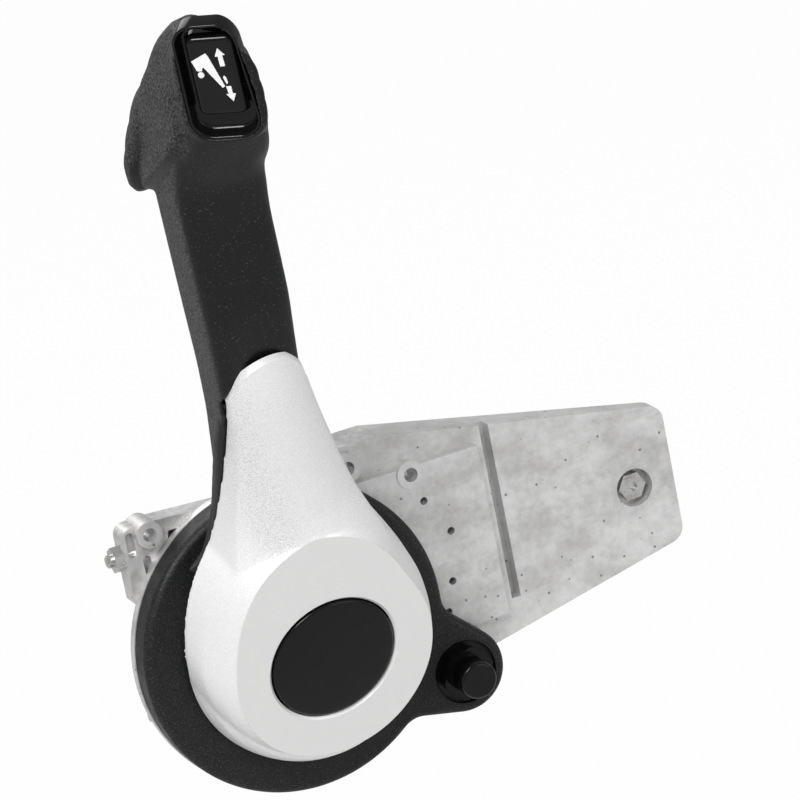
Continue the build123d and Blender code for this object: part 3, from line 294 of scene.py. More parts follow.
def mesh_object(name: str, points: Array, faces: list, sharp: float = 60.0) -> Object:
    """Makes a smooth-shaded mesh object and turns its faces outwards.

    Args:
        name: the object's name.
        points: the vertices, in metres.
        faces: lists of vertex numbers.
        sharp: degrees between faces above which an edge stays sharp.

    Returns:
        The object, linked to the scene.
    """
    mesh = bpy.data.meshes.new(name)
    mesh.from_pydata(np.asarray(points).tolist(), [], faces)
    mesh.update()
    mesh.calc_loop_triangles()
    index = np.empty(len(mesh.loop_triangles) * 3, np.int32)
    mesh.loop_triangles.foreach_get("vertices", index)
    corner = np.asarray(points)[index.reshape(-1, 3)]
    if np.einsum("ij,ij->i", corner[:, 0], np.cross(corner[:, 1], corner[:, 2])).sum() < 0:
        mesh.flip_normals()
    shade_smooth(mesh, sharp)
    obj = bpy.data.objects.new(name, mesh)
    bpy.context.scene.collection.objects.link(obj)
    return obj


def shade_smooth(mesh: Mesh, sharp: float = 180.0) -> None:
    """Shades the mesh smooth, except over edges of more than that many degrees."""
    mesh.polygons.foreach_set("use_smooth", np.ones(len(mesh.polygons), bool))
    mesh.set_sharp_from_angle(angle=math.radians(sharp))


def settle_modifiers(obj: Object) -> None:
    """Replaces the object's mesh by what its modifiers make of it, and removes them."""
    depsgraph = bpy.context.evaluated_depsgraph_get()
    obj.data = bpy.data.meshes.new_from_object(obj.evaluated_get(depsgraph))
    obj.modifiers.clear()


def remeshed(obj: Object, voxel: float, rounds: int) -> Object:
    """Merges an object's shells into one skin and softens its joins.

    Args:
        obj: the object, whose shells are closed.
        voxel: the size of the skin's squares, in millimetres.
        rounds: how many times each point moves halfway to its neighbours' mean.

    Returns:
        The same object.
    """
    merge = obj.modifiers.new("merge", "REMESH")
    merge.mode = "VOXEL"
    merge.voxel_size = voxel * MM
    soften = obj.modifiers.new("soften", "SMOOTH")
    soften.factor, soften.iterations = 0.5, rounds
    settle_modifiers(obj)
    return obj


def joined(objects: list) -> Object:
    """Joins the objects' meshes into the first one and returns it."""
    with bpy.context.temp_override(active_object=objects[0], selected_editable_objects=objects):
        bpy.ops.object.join()
    return objects[0]


class Cut(Enum):
    """What a cut leaves: all but the tool's room, or only what lies in it."""

    AWAY = "DIFFERENCE"
    KEEP = "INTERSECT"


def cut(obj: Object, tools: list, kind: Cut = Cut.AWAY) -> None:
    """Cuts the object by each closed tool object in turn and deletes the tools.

    Args:
        obj: the object to cut.
        tools: the cutting objects.
        kind: whether the tools' room is cut away or kept.
    """
    for tool in tools:
        step = obj.modifiers.new("cut", "BOOLEAN")
        step.operation = kind.value
        step.solver = "MANIFOLD"
        step.object = tool
        settle_modifiers(obj)
        bpy.data.objects.remove(tool, do_unlink=True)


def prism(name: str, outline: Array, low: float, high: float, axes: Axes) -> Object:
    """Makes a closed prism over an outline given across and along, between two levels out."""
    return grid_object(name, axes.place(rings(*outline.T, np.array([[low], [high]]))))


def circle(radius: float, count: int = 128) -> Array:
    """Returns points on a circle about the origin: radius times (cos a, sin a)."""
    a = np.linspace(0.0, 2 * math.pi, count, endpoint=False)
    return radius * np.column_stack([np.cos(a), np.sin(a)])


def turned(name: str, profile: list, middle: tuple, sharp: float = 60.0) -> Object:
    """Makes a round piece: (radius, level) pairs turned about a middle on the flat face."""
    radius, level = np.array(profile, float).T
    ring = radius[:, None, None] * circle(1.0) + middle
    return grid_object(name, LEVER.place(rings(ring[..., 0], ring[..., 1], level[:, None])), sharp=sharp)


def mesh_array(items: bpy.types.bpy_prop_collection, what: str = "co") -> Array:
    """Returns one vector of each of a mesh's items, such as its place, as an array of rows."""
    values = np.empty(len(items) * 3, np.float32)
    items.foreach_get(what, values)
    return values.reshape(-1, 3).astype(float)


def move_vertices(mesh: Mesh, places: Array) -> None:
    """Moves the mesh's vertices to places in the shared frame, in metres."""
    mesh.vertices.foreach_set("co", places.astype(np.float32).ravel())
    mesh.update()


def store(mesh: Mesh, name: str, values: Array) -> None:
    """Stores one number at each vertex, held between 0 and 1, as a named attribute."""
    layer = mesh.attributes.new(name, "FLOAT", "POINT")
    layer.data.foreach_set("value", np.clip(values, 0.0, 1.0).astype(np.float32))


# ---- finishes ----


class Recipe:
    """A material's node tree under construction, with short calls for the nodes it needs."""

    def __init__(self, name: str) -> None:
        """Starts an empty material with a Principled shader and object coordinates."""
        self.material = bpy.data.materials.new(name)
        self.material.use_nodes = True
        self.tree = self.material.node_tree
        self.shader = self.tree.nodes["Principled BSDF"]
        self.place = self.tree.nodes.new("ShaderNodeTexCoord").outputs["Object"]

    def link(self, source: Socket, target: Socket) -> None:
        """Joins two sockets."""
        self.tree.links.new(source, target)

    def noise(self, scale: float, detail: float = 4.0, rough: float = 0.55,
              stretch: Triple | None = None) -> Socket:
        """Returns a noise over the object, with scale in repeats per metre."""
        node = self.tree.nodes.new("ShaderNodeTexNoise")
        node.inputs["Scale"].default_value = scale
        node.inputs["Detail"].default_value = detail
        node.inputs["Roughness"].default_value = rough
        self.link(self.stretched(stretch), node.inputs["Vector"])
        return node.outputs["Fac"]

    def cells(self, scale: float, feature: str = "F1") -> Socket:
        """Returns the distance to the nearest point of a cell pattern over the object."""
        node = self.tree.nodes.new("ShaderNodeTexVoronoi")
        node.feature = feature
        node.inputs["Scale"].default_value = scale
        self.link(self.place, node.inputs["Vector"])
        return node.outputs["Distance"]

    def stretched(self, stretch: Triple | None) -> Socket:
        """Returns the object coordinates, stretched by a factor along each axis if given."""
        if stretch is None:
            return self.place
        node = self.tree.nodes.new("ShaderNodeMapping")
        node.inputs["Scale"].default_value = stretch
        self.link(self.place, node.inputs["Vector"])
        return node.outputs["Vector"]

    def ranged(self, source: Socket, low: float, high: float,
               to_low: float = 0.0, to_high: float = 1.0) -> Socket:
        """Returns the source's range low..high carried to to_low..to_high and held there."""
        node = self.tree.nodes.new("ShaderNodeMapRange")
        node.interpolation_type = "SMOOTHSTEP"
        for key, value in zip(("From Min", "From Max", "To Min", "To Max"), (low, high, to_low, to_high)):
            node.inputs[key].default_value = value
        self.link(source, node.inputs["Value"])
        return node.outputs["Result"]

    def blend(self, factor: Socket, low: Triple | Socket,
              high: Triple | Socket) -> Socket:
        """Returns a colour between two colours or sockets, by the factor."""
        node = self.tree.nodes.new("ShaderNodeMix")
        node.data_type = "RGBA"
        self.link(factor, node.inputs[0])
        for value, socket in ((low, node.inputs[6]), (high, node.inputs[7])):
            if isinstance(value, Socket):
                self.link(value, socket)
            else:
                socket.default_value = (*value, 1.0)
        return node.outputs[2]

    def times(self, a: Socket, b: Socket | float,
              operation: str = "MULTIPLY") -> Socket:
        """Returns two numbers multiplied, or joined by another named operation."""
        node = self.tree.nodes.new("ShaderNodeMath")
        node.operation = operation
        self.link(a, node.inputs[0])
        if isinstance(b, Socket):
            self.link(b, node.inputs[1])
        else:
            node.inputs[1].default_value = b
        return node.outputs[0]

    def bump(self, height: Socket, depth: float, strength: float = 1.0) -> None:
        """Adds relief of that depth in metres on top of the relief already there."""
        node = self.tree.nodes.new("ShaderNodeBump")
        node.inputs["Strength"].default_value = strength
        node.inputs["Distance"].default_value = depth
        self.link(height, node.inputs["Height"])
        before = self.shader.inputs["Normal"]
        if before.is_linked:
            self.link(before.links[0].from_socket, node.inputs["Normal"])
        self.link(node.outputs["Normal"], before)

    def attribute(self, name: str) -> Socket:
        """Returns a number that the piece carries at each vertex."""
        node = self.tree.nodes.new("ShaderNodeAttribute")
        node.attribute_name = name
        return node.outputs["Fac"]

    def fixed(self, **values: float) -> None:
        """Sets constants on the shader, by socket name with underscores for spaces."""
        for key, value in values.items():
            self.shader.inputs[key.replace("_", " ")].default_value = value

    def colour(self, source: Socket) -> None:
        """Uses the source as the shader's colour."""
        self.link(source, self.shader.inputs["Base Color"])

    def roughness(self, source: Socket) -> None:
        """Uses the source as the shader's roughness."""
        self.link(source, self.shader.inputs["Roughness"])


def grey(value: float, warm: float = 0.0) -> Triple:
    """Returns a grey of that linear level, a little warmer or cooler."""
    return (value * (1 + warm), value, value * (1 - warm))


@dataclass(frozen=True)
class CastMetal:
    """Raw die-cast aluminium: mottled, slightly streaked skin with pits and a sandy relief."""

    dark: float = 0.46
    light: float = 0.72
    metal: float = 0.55
    rough: float = 0.38

    def make(self) -> Material:
        """Returns the material."""
        r = Recipe("cast_metal")
        cloud = r.ranged(r.noise(45, 6, 0.62, (1.0, 1.0, 1.6)), 0.36, 0.64)
        fine = r.ranged(r.noise(420, 5, 0.6), 0.3, 0.72)
        tone = r.times(r.times(cloud, 0.62), r.times(fine, 0.38), "ADD")
        body = r.blend(tone, grey(self.dark, 0.01), grey(self.light, 0.005))
        pits = r.ranged(r.cells(210), 0.07, 0.12)
        r.colour(r.blend(pits, grey(self.dark * 0.55), body))
        r.roughness(r.ranged(fine, 0.0, 1.0, self.rough - 0.07, self.rough + 0.12))
        r.bump(r.noise(120, 5, 0.6), 0.00035, 0.5)
        r.bump(r.noise(1400, 3), 0.00005, 0.8)
        r.bump(pits, 0.00012, 0.6)
        r.fixed(Metallic=self.metal)
        return r.material


@dataclass(frozen=True)
class SilverCoat:
    """Satin silver paint with fine metal flakes that glint where the light grazes; the glints are painted
    in as dark specks, and the flat face is painted a darker grey as shade.
    """

    dark: float = 0.80
    light: float = 0.90
    # face: the flat face's grey, darker than the rest as painted shade, for the face turns down towards
    # the floor
    face: float = 0.74
    metal: float = 0.30
    rough: float = 0.38

    def make(self) -> Material:
        """Returns the material."""
        r = Recipe("silver_coat")
        flakes = r.noise(2400, 2, 0.6)
        fine = r.ranged(flakes, 0.36, 0.64)
        flat, sparkle = r.attribute("flat"), r.attribute("sparkle")
        coat = r.blend(fine, grey(self.dark), grey(self.light))
        # The flat face gets a plainer mottle in a darker grey: painted shade, for the face turns down
        # towards the floor.
        coat = r.blend(flat, coat, r.blend(r.noise(300, 4), grey(self.face), grey(self.face * 1.03, 0.01)))
        # Painted glints: dark flake specks, strongest in the band along the neck where the light grazes.
        glint = r.times(r.ranged(r.noise(3000, 2), 0.52, 0.62), r.times(sparkle, 0.5))
        coat = r.blend(glint, coat, grey(self.dark * 0.42))
        r.colour(coat)
        r.roughness(r.ranged(r.noise(900, 3), 0.3, 0.7, self.rough - 0.05, self.rough + 0.07))
        r.bump(r.times(flakes, r.times(sparkle, 0.12, "ADD")), 0.00028, 0.9)
        r.fixed(Metallic=self.metal)
        return r.material


@dataclass(frozen=True)
class GrainedBlack:
    """Black powder coat or moulded plastic with a fine grain and pale glints."""

    name: str
    dark: float = 0.006
    light: float = 0.011
    rough: float = 0.46
    grain: float = 2300
    depth: float = 0.00008
    glints: float = 0.0
    ior: float = 1.34

    def make(self) -> Material:
        """Returns the material."""
        r = Recipe(self.name)
        grain = r.noise(self.grain, 3, 0.6)
        tone = r.ranged(grain, 0.35, 0.66)
        body = r.blend(tone, grey(self.dark, -0.04), grey(self.light, -0.04))
        if self.glints:
            spark = r.ranged(r.noise(self.grain * 1.7, 2), 0.60, 0.68)
            body = r.blend(r.times(spark, self.glints), body, grey(0.12))
        r.colour(body)
        r.roughness(r.ranged(r.noise(160, 4), 0.3, 0.7, self.rough - 0.06, self.rough + 0.08))
        r.bump(grain, self.depth, 0.7)
        r.fixed(IOR=self.ior)
        return r.material


@dataclass(frozen=True)
class GlossBlack:
    """Polished black moulding with faint haze and hairline scuffs."""

    name: str
    level: float = 0.003
    rough: float = 0.13
    ior: float = 1.3

    def make(self) -> Material:
        """Returns the material."""
        r = Recipe(self.name)
        haze = r.noise(90, 4, 0.6)
        r.colour(r.blend(haze, grey(self.level), grey(self.level * 1.9)))
        r.roughness(r.ranged(haze, 0.3, 0.7, self.rough - 0.03, self.rough + 0.07))
        r.bump(r.noise(500, 2, 0.5, (1, 1, 0.2)), 0.00001, 0.5)
        r.fixed(IOR=self.ior)
        return r.material


@dataclass(frozen=True)
class GripSkin:
    """Soft black skin: leather grain at the sides and back, smooth with specks at the front."""

    smooth: float = 0.0045
    pale: float = 0.060

    def make(self) -> Material:
        """Returns the material."""
        r = Recipe("grip_skin")
        grain = r.attribute("grain")
        cells = r.cells(1700, "SMOOTH_F1")
        folds = r.noise(1100, 4, 0.6)
        leather = r.times(r.times(cells, 0.75), r.times(folds, 0.5), "ADD")
        ridge = r.times(r.ranged(leather, 0.42, 0.74), grain)
        front = r.blend(r.noise(60, 3), grey(self.smooth * 0.75, -0.06), grey(self.smooth * 1.25, -0.06))
        specks = r.times(r.ranged(r.noise(1500, 2), 0.63, 0.70), 0.4)
        front = r.blend(specks, front, grey(0.10))
        r.colour(r.blend(ridge, front, grey(self.pale, 0.02)))
        r.roughness(r.ranged(grain, 0.0, 1.0, 0.42, 0.5))
        r.bump(r.times(leather, grain), 0.00026, 0.9)
        r.bump(r.noise(2600, 2), 0.00002, 0.5)
        r.fixed(IOR=1.32)
        return r.material


@dataclass(frozen=True)
class MachinedMetal:
    """Bright turned metal with fine lines round it, a few stains and a faint tarnish."""

    name: str
    colour: Triple = (0.56, 0.56, 0.55)
    tarnish: Triple = (0.30, 0.29, 0.27)
    rough: float = 0.27
    stretch: Triple = (1.0, 1.0, 9.0)

    def make(self) -> Material:
        """Returns the material."""
        r = Recipe(self.name)
        lines = r.noise(420, 3, 0.6, self.stretch)
        stain = r.ranged(r.noise(150, 5, 0.65), 0.5, 0.78)
        r.colour(r.blend(stain, self.colour, self.tarnish))
        r.roughness(r.ranged(lines, 0.3, 0.7, self.rough - 0.08, self.rough + 0.12))
        r.bump(lines, 0.00002, 0.6)
        r.fixed(Metallic=1.0)
        return r.material


@dataclass(frozen=True)
class PrintedWhite:
    """White pad print with a slightly uneven, matt film."""

    def make(self) -> Material:
        """Returns the material."""
        r = Recipe("printed_white")
        film = r.noise(1800, 3)
        r.colour(r.blend(r.ranged(film, 0.3, 0.7), grey(0.78), grey(0.88)))
        r.roughness(r.ranged(film, 0.3, 0.7, 0.42, 0.58))
        r.bump(film, 0.00001, 0.5)
        return r.material


# ---- pieces ----


def dress(obj: Object, material: Material) -> None:
    """Gives every material slot of the object that material, adding one if it has none."""
    if not obj.material_slots:
        obj.data.materials.append(material)
    for slot in obj.material_slots:
        slot.material = material


def narrowing(points: Array, rate: float = 0.0125, start: float = -5.0,
              reach: float = 30.0) -> Array:
    """Returns the factor that draws the switch's pocket in at its upper right.

    The factor is 1 - rate * (along - start) to the right of the middle, and 1 elsewhere.
    """
    drawn = 1.0 - rate * np.clip(points[..., 1] - start, 0.0, reach)
    return np.where(points[..., 0] > 0, drawn, 1.0)


@dataclass
class LeverGrip:
    """The handle's soft skin: a shaft of rounded four-sided sections that swells into a head.

    Each station is (t, corner x and s at front left, front right, back right, back left), in
    the lever's axes. The overhang behind the head is a second swelling of oval sections, each
    (t, x, s, half width, half depth). Both are merged by a fine remesh and smoothed together,
    and the head is sunk to take the switch. The head's outline is (degrees, reach) round its
    centre, an arch is (middle, half width, start, height), and the pocket is (width, length,
    corner radius, middle along). A pair of numbers is where a change starts and ends.
    """

    stations: tuple = (
        (58, -12.3, -6, 12.3, -6, 12.3, -33, -12.3, -33),
        (90, -12.6, -4.2, 12.7, -4.2, 12.7, -24, -12.6, -24),
        (108, -12.9, -2.4, 12.9, -2.4, 12.9, -21.5, -12.9, -21.5),
        (130, -13.4, 0.5, 13.4, 0.5, 13.4, -20.6, -13.4, -20.6),
        (160, -13.4, 0.9, 13.4, 0.9, 13.4, -20.6, -13.4, -20.6),
        (176, -13.4, 0.9, 14.0, 3.7, 12.8, -21.5, -13.0, -21.5),
        (190, -12.5, 4.6, 14.0, 17.0, 13.0, -22.0, -12.6, -22.0),
        (204, -11.6, 8.6, 13.8, 26.2, 12.2, -20.0, -11.6, -20.0),
        (218, -11.5, 8.7, 13.6, 26.0, 10.8, -16.0, -10.8, -16.0),
        (229, -9.4, 8.2, 11.4, 22.4, 8.6, -9.0, -8.6, -9.0),
        (234.8, -5.0, 7.6, 5.6, 15.0, 4.4, 0.0, -4.4, 0.0),
    )
    lump: tuple = (
        (163.8, -1.5, -26.5, 7.0, 3.6),
        (167.5, -1.5, -27.0, 11.6, 6.8),
        (174, -1.5, -27.0, 14.2, 9.1),
        (185, -1.5, -24.0, 12.6, 10.9),
        (200, -0.5, -17.0, 10.6, 10.9),
        (214, 0.0, -9.0, 8.4, 9.4),
    )
    slant: tuple = ((-60.0, 30.0), (-40.0, 35.0), (-20.0, 72.0), (-6.0, 98.0), (10.0, 104.0))
    corner_blur: float = 0.20
    voxel: float = 0.62
    head_outline: tuple = (
        (-46, 25.0), (-27, 22.0), (-4, 20.6), (14, 20.9), (30, 22.8), (46, 25.5), (57, 28.3), (66, 31.1),
        (74, 33.2), (83, 34.6), (90, 34.3), (98, 32.0), (111, 27.6), (125, 24.8), (148, 21.9),
        (171, 21.9), (184, 23.1), (199, 24.2), (213, 23.7),
    )
    head_centre: Pair = (-3.0, 195.0)
    head_right: Pair = (-58.0, -28.0)
    head_left: Pair = (207.0, 224.0)
    most_change: float = 0.4
    sector: float = 3.0
    arch: Four = (0.5, 13.4, 97.5, 11.8)
    arch_floor: float = -8.0
    pocket: Four = (19.8, 36.8, 6.6, -1.3)
    rim: float = 1.05
    sink: float = -4.4
    rim_reach: Pair = (0.4, 3.0)
    rim_level: Pair = (-5.0, -1.5)
    sink_edge: Pair = (-0.9, 0.1)
    sink_level: Pair = (-9.0, -3.5)
    smooth_front: Pair = (0.10, 0.55)
    # ridge: a strip of grain on the pocket's left ridge (x, half width, strength), partly real texture and
    # partly a painted highlight
    ridge: Triple = (-10.5, 2.4, 0.8)
    ridge_start: Pair = (186.0, 196.0)

    def shaft_rows(self, rows: int = 150, count: int = 128) -> Array:
        """Works out the shaft and head as rings of points.

        The corners run smoothly between the stations. A ring goes straight from corner to
        corner and is rounded by a moving average along it. Each ring's points are then held
        above the slanted lower end, which at the front follows the cover's arch.

        Args:
            rows: rings from the lower end to the top.
            count: points on each ring.

        Returns:
            Rings, points, (x, t, s) in the lever's axes.
        """
        t, corners = smoothed_columns(self.stations, rows, 6)
        corners = corners.reshape(rows, 4, 2)
        side, part = np.divmod(np.arange(count), count // 4)
        part = (part / (count // 4))[None, :, None]
        ring = corners[:, side] * (1 - part) + corners[:, (side + 1) % 4] * part
        ring = blurred_round(ring, self.corner_blur, 1)
        x, level = ring[..., 0], ring[..., 1]
        lowest = np.interp(level, *np.array(self.slant).T)
        middle, half, start, tall = self.arch
        over = start + tall * np.sqrt(np.clip(1 - ((x - middle) / half) ** 2, 0.0, 1.0))
        lowest = np.where(level > self.arch_floor, np.maximum(lowest, over), lowest)
        return rings(x, np.maximum(t[:, None], lowest), level)

    def lump_rows(self, rows: int = 60, count: int = 64) -> Array:
        """Works out the overhang as oval rings: centre plus radii times (cos a, sin a)."""
        t, columns = smoothed_columns(self.lump, rows, 3)
        x, s, rx, rs = columns.T[..., None]
        a = np.linspace(0.0, 2 * math.pi, count, endpoint=False)
        return rings(x + rx * np.cos(a), t[:, None], s + rs * np.sin(a))

    def shaped_head(self, points: Array) -> Array:
        """Draws the head out or in to its outline, seen along the slanted line of its brow.

        Round the head's centre, the farthest point in each direction gives the reach that the
        head has there. Every point in that direction is scaled by the wanted reach over it,
        except towards the shaft, where the change fades out on the right and on the left.

        Args:
            points: the skin's vertices in the lever's axes.

        Returns:
            The moved vertices.
        """
        v, u = seen_slanted(points)
        v, u = v - self.head_centre[0], u - self.head_centre[1]
        below = 90.0
        angle = (np.degrees(np.arctan2(u, v)) + below) % 360.0
        sectors = round(360.0 / self.sector)
        reach = farthest_by((angle / self.sector).astype(int), np.hypot(u, v), sectors)
        reach = np.interp(angle, (np.arange(sectors) + 0.5) * self.sector, bell_smooth(reach, 2))
        direction, wanted = np.array(self.head_outline).T
        wanted = np.interp(angle, direction + below, wanted)
        part = smoothstep(*np.add(self.head_right, below), angle)
        part = part * (1 - smoothstep(*np.add(self.head_left, below), angle))
        change = np.clip(wanted / reach - 1.0, -self.most_change, self.most_change) * part
        return points + np.column_stack([v * change, u * change, np.zeros(len(points))])

    def sunk_head(self, points: Array) -> Array:
        """Sinks the switch's pocket into the head and draws its surroundings to the rim's level.

        With d the distance outside the pocket's rounded outline, a point's level goes to the
        rim within a few millimetres of it, and down by the sink depth inside it.

        Args:
            points: the head's vertices in the switch's axes.

        Returns:
            The moved vertices.
        """
        wide, tall, radius, centre = self.pocket
        x = np.abs(points[:, 0] / narrowing(points[:, :2])) - (wide / 2 - radius)
        y = np.abs(points[:, 1] - centre) - (tall / 2 - radius)
        d = np.hypot(np.maximum(x, 0), np.maximum(y, 0)) + np.minimum(np.maximum(x, y), 0) - radius
        start = level = points[:, 2]
        near = (1 - smoothstep(*self.rim_reach, d)) * smoothstep(*self.rim_level, start)
        level = level + near * (self.rim - level)
        inside = (1 - smoothstep(*self.sink_edge, d)) * smoothstep(*self.sink_level, start)
        level = level + inside * (self.sink - level)
        return np.column_stack([points[:, :2], level])

    def build(self) -> Object:
        """Builds the skin and returns its object, with the grain's strength at each vertex."""
        shaft = grid_object("grip_skin", LEVER.place(self.shaft_rows()))
        lump = grid_object("grip_lump", LEVER.place(self.lump_rows()))
        remeshed(joined([shaft, lump]), self.voxel, rounds=9)
        mesh = shaft.data
        points = self.shaped_head(LEVER.local(mesh_array(mesh.vertices)))
        points = self.sunk_head(TRIM.local(LEVER.place(points)))
        move_vertices(mesh, TRIM.place(points))
        self.mark_grain(mesh)
        shade_smooth(mesh)
        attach(shaft, "lever")
        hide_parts("lever_grip")
        return shaft

    def mark_grain(self, mesh: Mesh) -> None:
        """Stores how strong the leather grain is: none in front, but for the pocket's left ridge, where
        the grain's pale flecks also paint the highlight.
        """
        facing = unit(mesh_array(mesh.vertex_normals, "vector")) @ np.array(LEVER.out)
        place = LEVER.local(mesh_array(mesh.vertices))
        front = smoothstep(*self.smooth_front, facing)
        # The strip of grain along the pocket's left ridge is real texture, and its pale flecks also stand
        # in as a painted highlight there.
        x, width, strength = self.ridge
        strip = np.exp(-(((place[:, 0] - x) / width) ** 2)) * smoothstep(*self.ridge_start, place[:, 1])
        store(mesh, "grain", 1.0 - front + strength * strip * front)


@dataclass
class HubCover:
    """The silver shell: a round hub with an egg-shaped flat face, run out into an arched neck.

    The hub's profile is (radius, height above the seat). A face row is (level, growth) of the
    egg below and above the flat face. A neck station is (t, middle, half width at the
    shoulder, half width at the foot, crown, low edge) in the lever's axes. The sparkle's band
    is (x, half width, lean, height at which x holds).
    """

    hub: tuple = ((35.9, 6.0), (35.9, 11.5), (35.6, 15), (34.6, 20), (32.6, 25), (28.5, 29.5))
    egg: tuple = (
        (90, 45.6), (73, 44.4), (60, 40.6), (34, 33.2), (8, 32.8), (-15, 32.8), (-45, 33.0), (-75, 33.0),
        (-98, 31.8), (-128, 31.0), (-170, 29.6), (155, 31.2), (130, 36.4), (108, 43.2),
    )
    egg_rows: tuple = ((-24.0, 6.4), (-13.0, 5.2), (-7.0, 3.4), (-3.0, 1.7), (0.0, 0.2), (6.0, -1.6))
    neck: tuple = (
        (6.0, 2.6, 32.0, 33.8, 4.2, -34.0), (30, 3.2, 25.8, 27.6, 2.4, -28.5),
        (50, 2.8, 19.9, 21.5, -0.9, -21.5), (66, 2.6, 16.6, 18.0, -0.9, -16.5),
        (84, 2.2, 13.6, 14.4, 0.2, -12), (98.5, 1.1, 12.5, 12.3, 1.4, -7.2),
        (106, 0.9, 12.5, 12.4, 1.8, -7.2), (121, 0.8, 12.7, 12.6, 2.4, -7.2),
    )
    egg_blur: float = 0.16
    bulge: float = 0.42
    wall: float = 2.2
    base: float = 11.5
    arch: Four = (0.8, 12.6, 98.0, 17.0)
    lip: tuple = ((-60.0, 0.0), (-5.0, 0.0), (0.0, -1.2), (5.0, -3.2))
    cap_middle: Pair = (0.9, 1.7)
    cap_hole: float = 20.3
    voxel: float = 0.7
    room_drop: float = 12.0
    face_slack: float = 0.01
    face_fade: Pair = (0.02, 0.08)
    face_end: Pair = (52.0, 53.0)
    sparkle: Four = (-8.0, 8.5, 0.12, 60.0)
    sparkle_start: Pair = (0.0, 36.0)

    def hub_rows(self, inset: float, count: int = 160) -> Array:
        """Works out the hub as rings about the hinge's axis: radius less inset, at minus height."""
        radius, height = np.array(self.hub, float).T
        ring = (radius - inset)[:, None, None] * circle(1.0, count)
        return rings(ring[..., 0], -height[:, None], ring[..., 1]) * MM

    def egg_outline(self, count: int = 160) -> tuple[Array, Array]:
        """Returns the egg's angles and its radii, interpolated round and softened."""
        angle, radius = np.array(self.egg, float).T
        angle = np.radians(angle) % (2 * math.pi)
        order = np.argsort(angle)
        at = np.linspace(0.0, 2 * math.pi, count, endpoint=False)
        radius = np.interp(at, angle[order], radius[order], period=2 * math.pi)
        return at, blurred_round(radius, self.egg_blur, 0)

    def egg_surface(self, inset: float) -> Array:
        """Works out the body behind the face: the egg's radii plus each row's growth."""
        at, radius = self.egg_outline()
        level, grow = np.array(self.egg_rows, float).T
        reach = radius[None, :] + grow[:, None] - inset
        return rings(reach * np.cos(at), reach * np.sin(at), level[:, None])

    def neck_surface(self, inset: float, drop: float, rows: int = 110) -> Array:
        """Works out the neck as closed rings: a foot line, two sides and an arc for the crown.

        The arc has sagitta h = bulge * half and radius (half^2 + h^2) / 2h. Each ring is then
        rounded by a short moving average.

        Args:
            inset: how far the ring is drawn in, in millimetres.
            drop: how far its foot is carried down.
            rows: rings up the neck.

        Returns:
            Rings, points, (x, t, s) in the lever's axes.
        """
        t, columns = smoothed_columns(self.neck, rows, 7)
        middle, half, foot, crown, low = columns.T[..., None]
        half, foot, crown, low = half - inset, foot - inset, crown - inset, low - drop
        rise = self.bulge * half
        radius = (half**2 + rise**2) / (2 * rise)
        top_points, side_points = 96, 24
        turn = np.arcsin(half / radius) * np.linspace(1, -1, top_points)
        arc = np.stack([radius * np.sin(turn), crown - radius + radius * np.cos(turn)], -1)
        part = np.linspace(0, 1, side_points, endpoint=False)
        shoulder = crown - rise
        right = np.stack([foot + (half - foot) * part, low + (shoulder - low) * part], -1)
        left = np.stack([-(half + (foot - half) * part), shoulder + (low - shoulder) * part], -1)
        floor = np.stack([-foot + 2 * foot * part, np.repeat(low, side_points, 1)], -1)
        ring = np.concatenate([right, arc, left, floor], 1)
        return rings(ring[..., 0] + middle, t[:, None], ring[..., 1])

    def body(self, name: str, inset: float, drop: float) -> Object:
        """Builds the closed body of the cover, drawn in by an inset, with softened joins."""
        parts = [
            grid_object(name, self.hub_rows(inset)),
            grid_object("egg_part", LEVER.place(self.egg_surface(inset))),
            grid_object("neck_part", LEVER.place(self.neck_surface(inset, drop))),
        ]
        return remeshed(joined(parts), self.voxel, rounds=16)

    def arch_rows(self, count: int = 96) -> Array:
        """Works out what the arched end keeps: straight sides and an elliptical top.

        The top is drawn in with the level, which leaves a sloping lip on the arch's edge.
        """
        level, grow = np.array(self.lip, float).T
        a = np.linspace(0.0, math.pi, count)
        middle, half, start, tall = self.arch
        x = middle + (half + grow[:, None]) * np.cos(a)
        t = start + (tall + grow[:, None]) * np.sin(a)
        wide, low = 60.0, -80.0
        corner = np.array([(-wide, start), (-wide, low), (wide, low), (wide, start)])
        ring = np.concatenate([np.stack([x, t], -1), np.repeat(corner[None], len(level), 0)], 1)
        return rings(ring[..., 0], ring[..., 1], level[:, None])

    def build(self, finish: Material) -> Object:
        """Builds the shell: the body, cut flat at the face, base and arch, and hollowed."""
        shell = self.body("cover_shell", 0.0, 0.0)
        inner = self.body("cover_room", self.wall, self.room_drop)
        above = 30.0
        across, block = circle(50.0), 90.0 * np.array([(-1, -1), (1, -1), (1, 1), (-1, 1)])
        seat = Axes((0, 0, 0), (1, 0, 0), (0, 0, 1), (0, 1, 0))
        cut(inner, [prism("room_top", across, -self.wall, above, LEVER)])
        cut(shell, [
            inner,
            prism("face_cut", across, 0.0, above, LEVER),
            prism("base_cut", block, -self.base, above, seat),
            self.cap_tool(),
        ])
        cut(shell, [grid_object("arch_keep", LEVER.place(self.arch_rows()))], Cut.KEEP)
        mesh = shell.data
        shade_smooth(mesh, 30.0)
        self.mark_finish(mesh)
        level = LEVER.local(mesh_array(mesh.polygons, "center"))[:, 2]
        mesh.polygons.foreach_set("use_smooth", np.abs(level) > self.face_slack)
        dress(shell, finish)
        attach(shell, "lever")
        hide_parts("hub_cover")
        return shell

    def cap_tool(self) -> Object:
        """Builds the tool for the button's hole: a round bore with a bevelled edge."""
        deep, bevel = 9.0, 0.75
        rows = ((0.0, -deep), (0.0, -bevel), (bevel, 0.0), (bevel, deep))
        return turned("cap_tool", [(self.cap_hole + grow, level) for grow, level in rows], self.cap_middle)

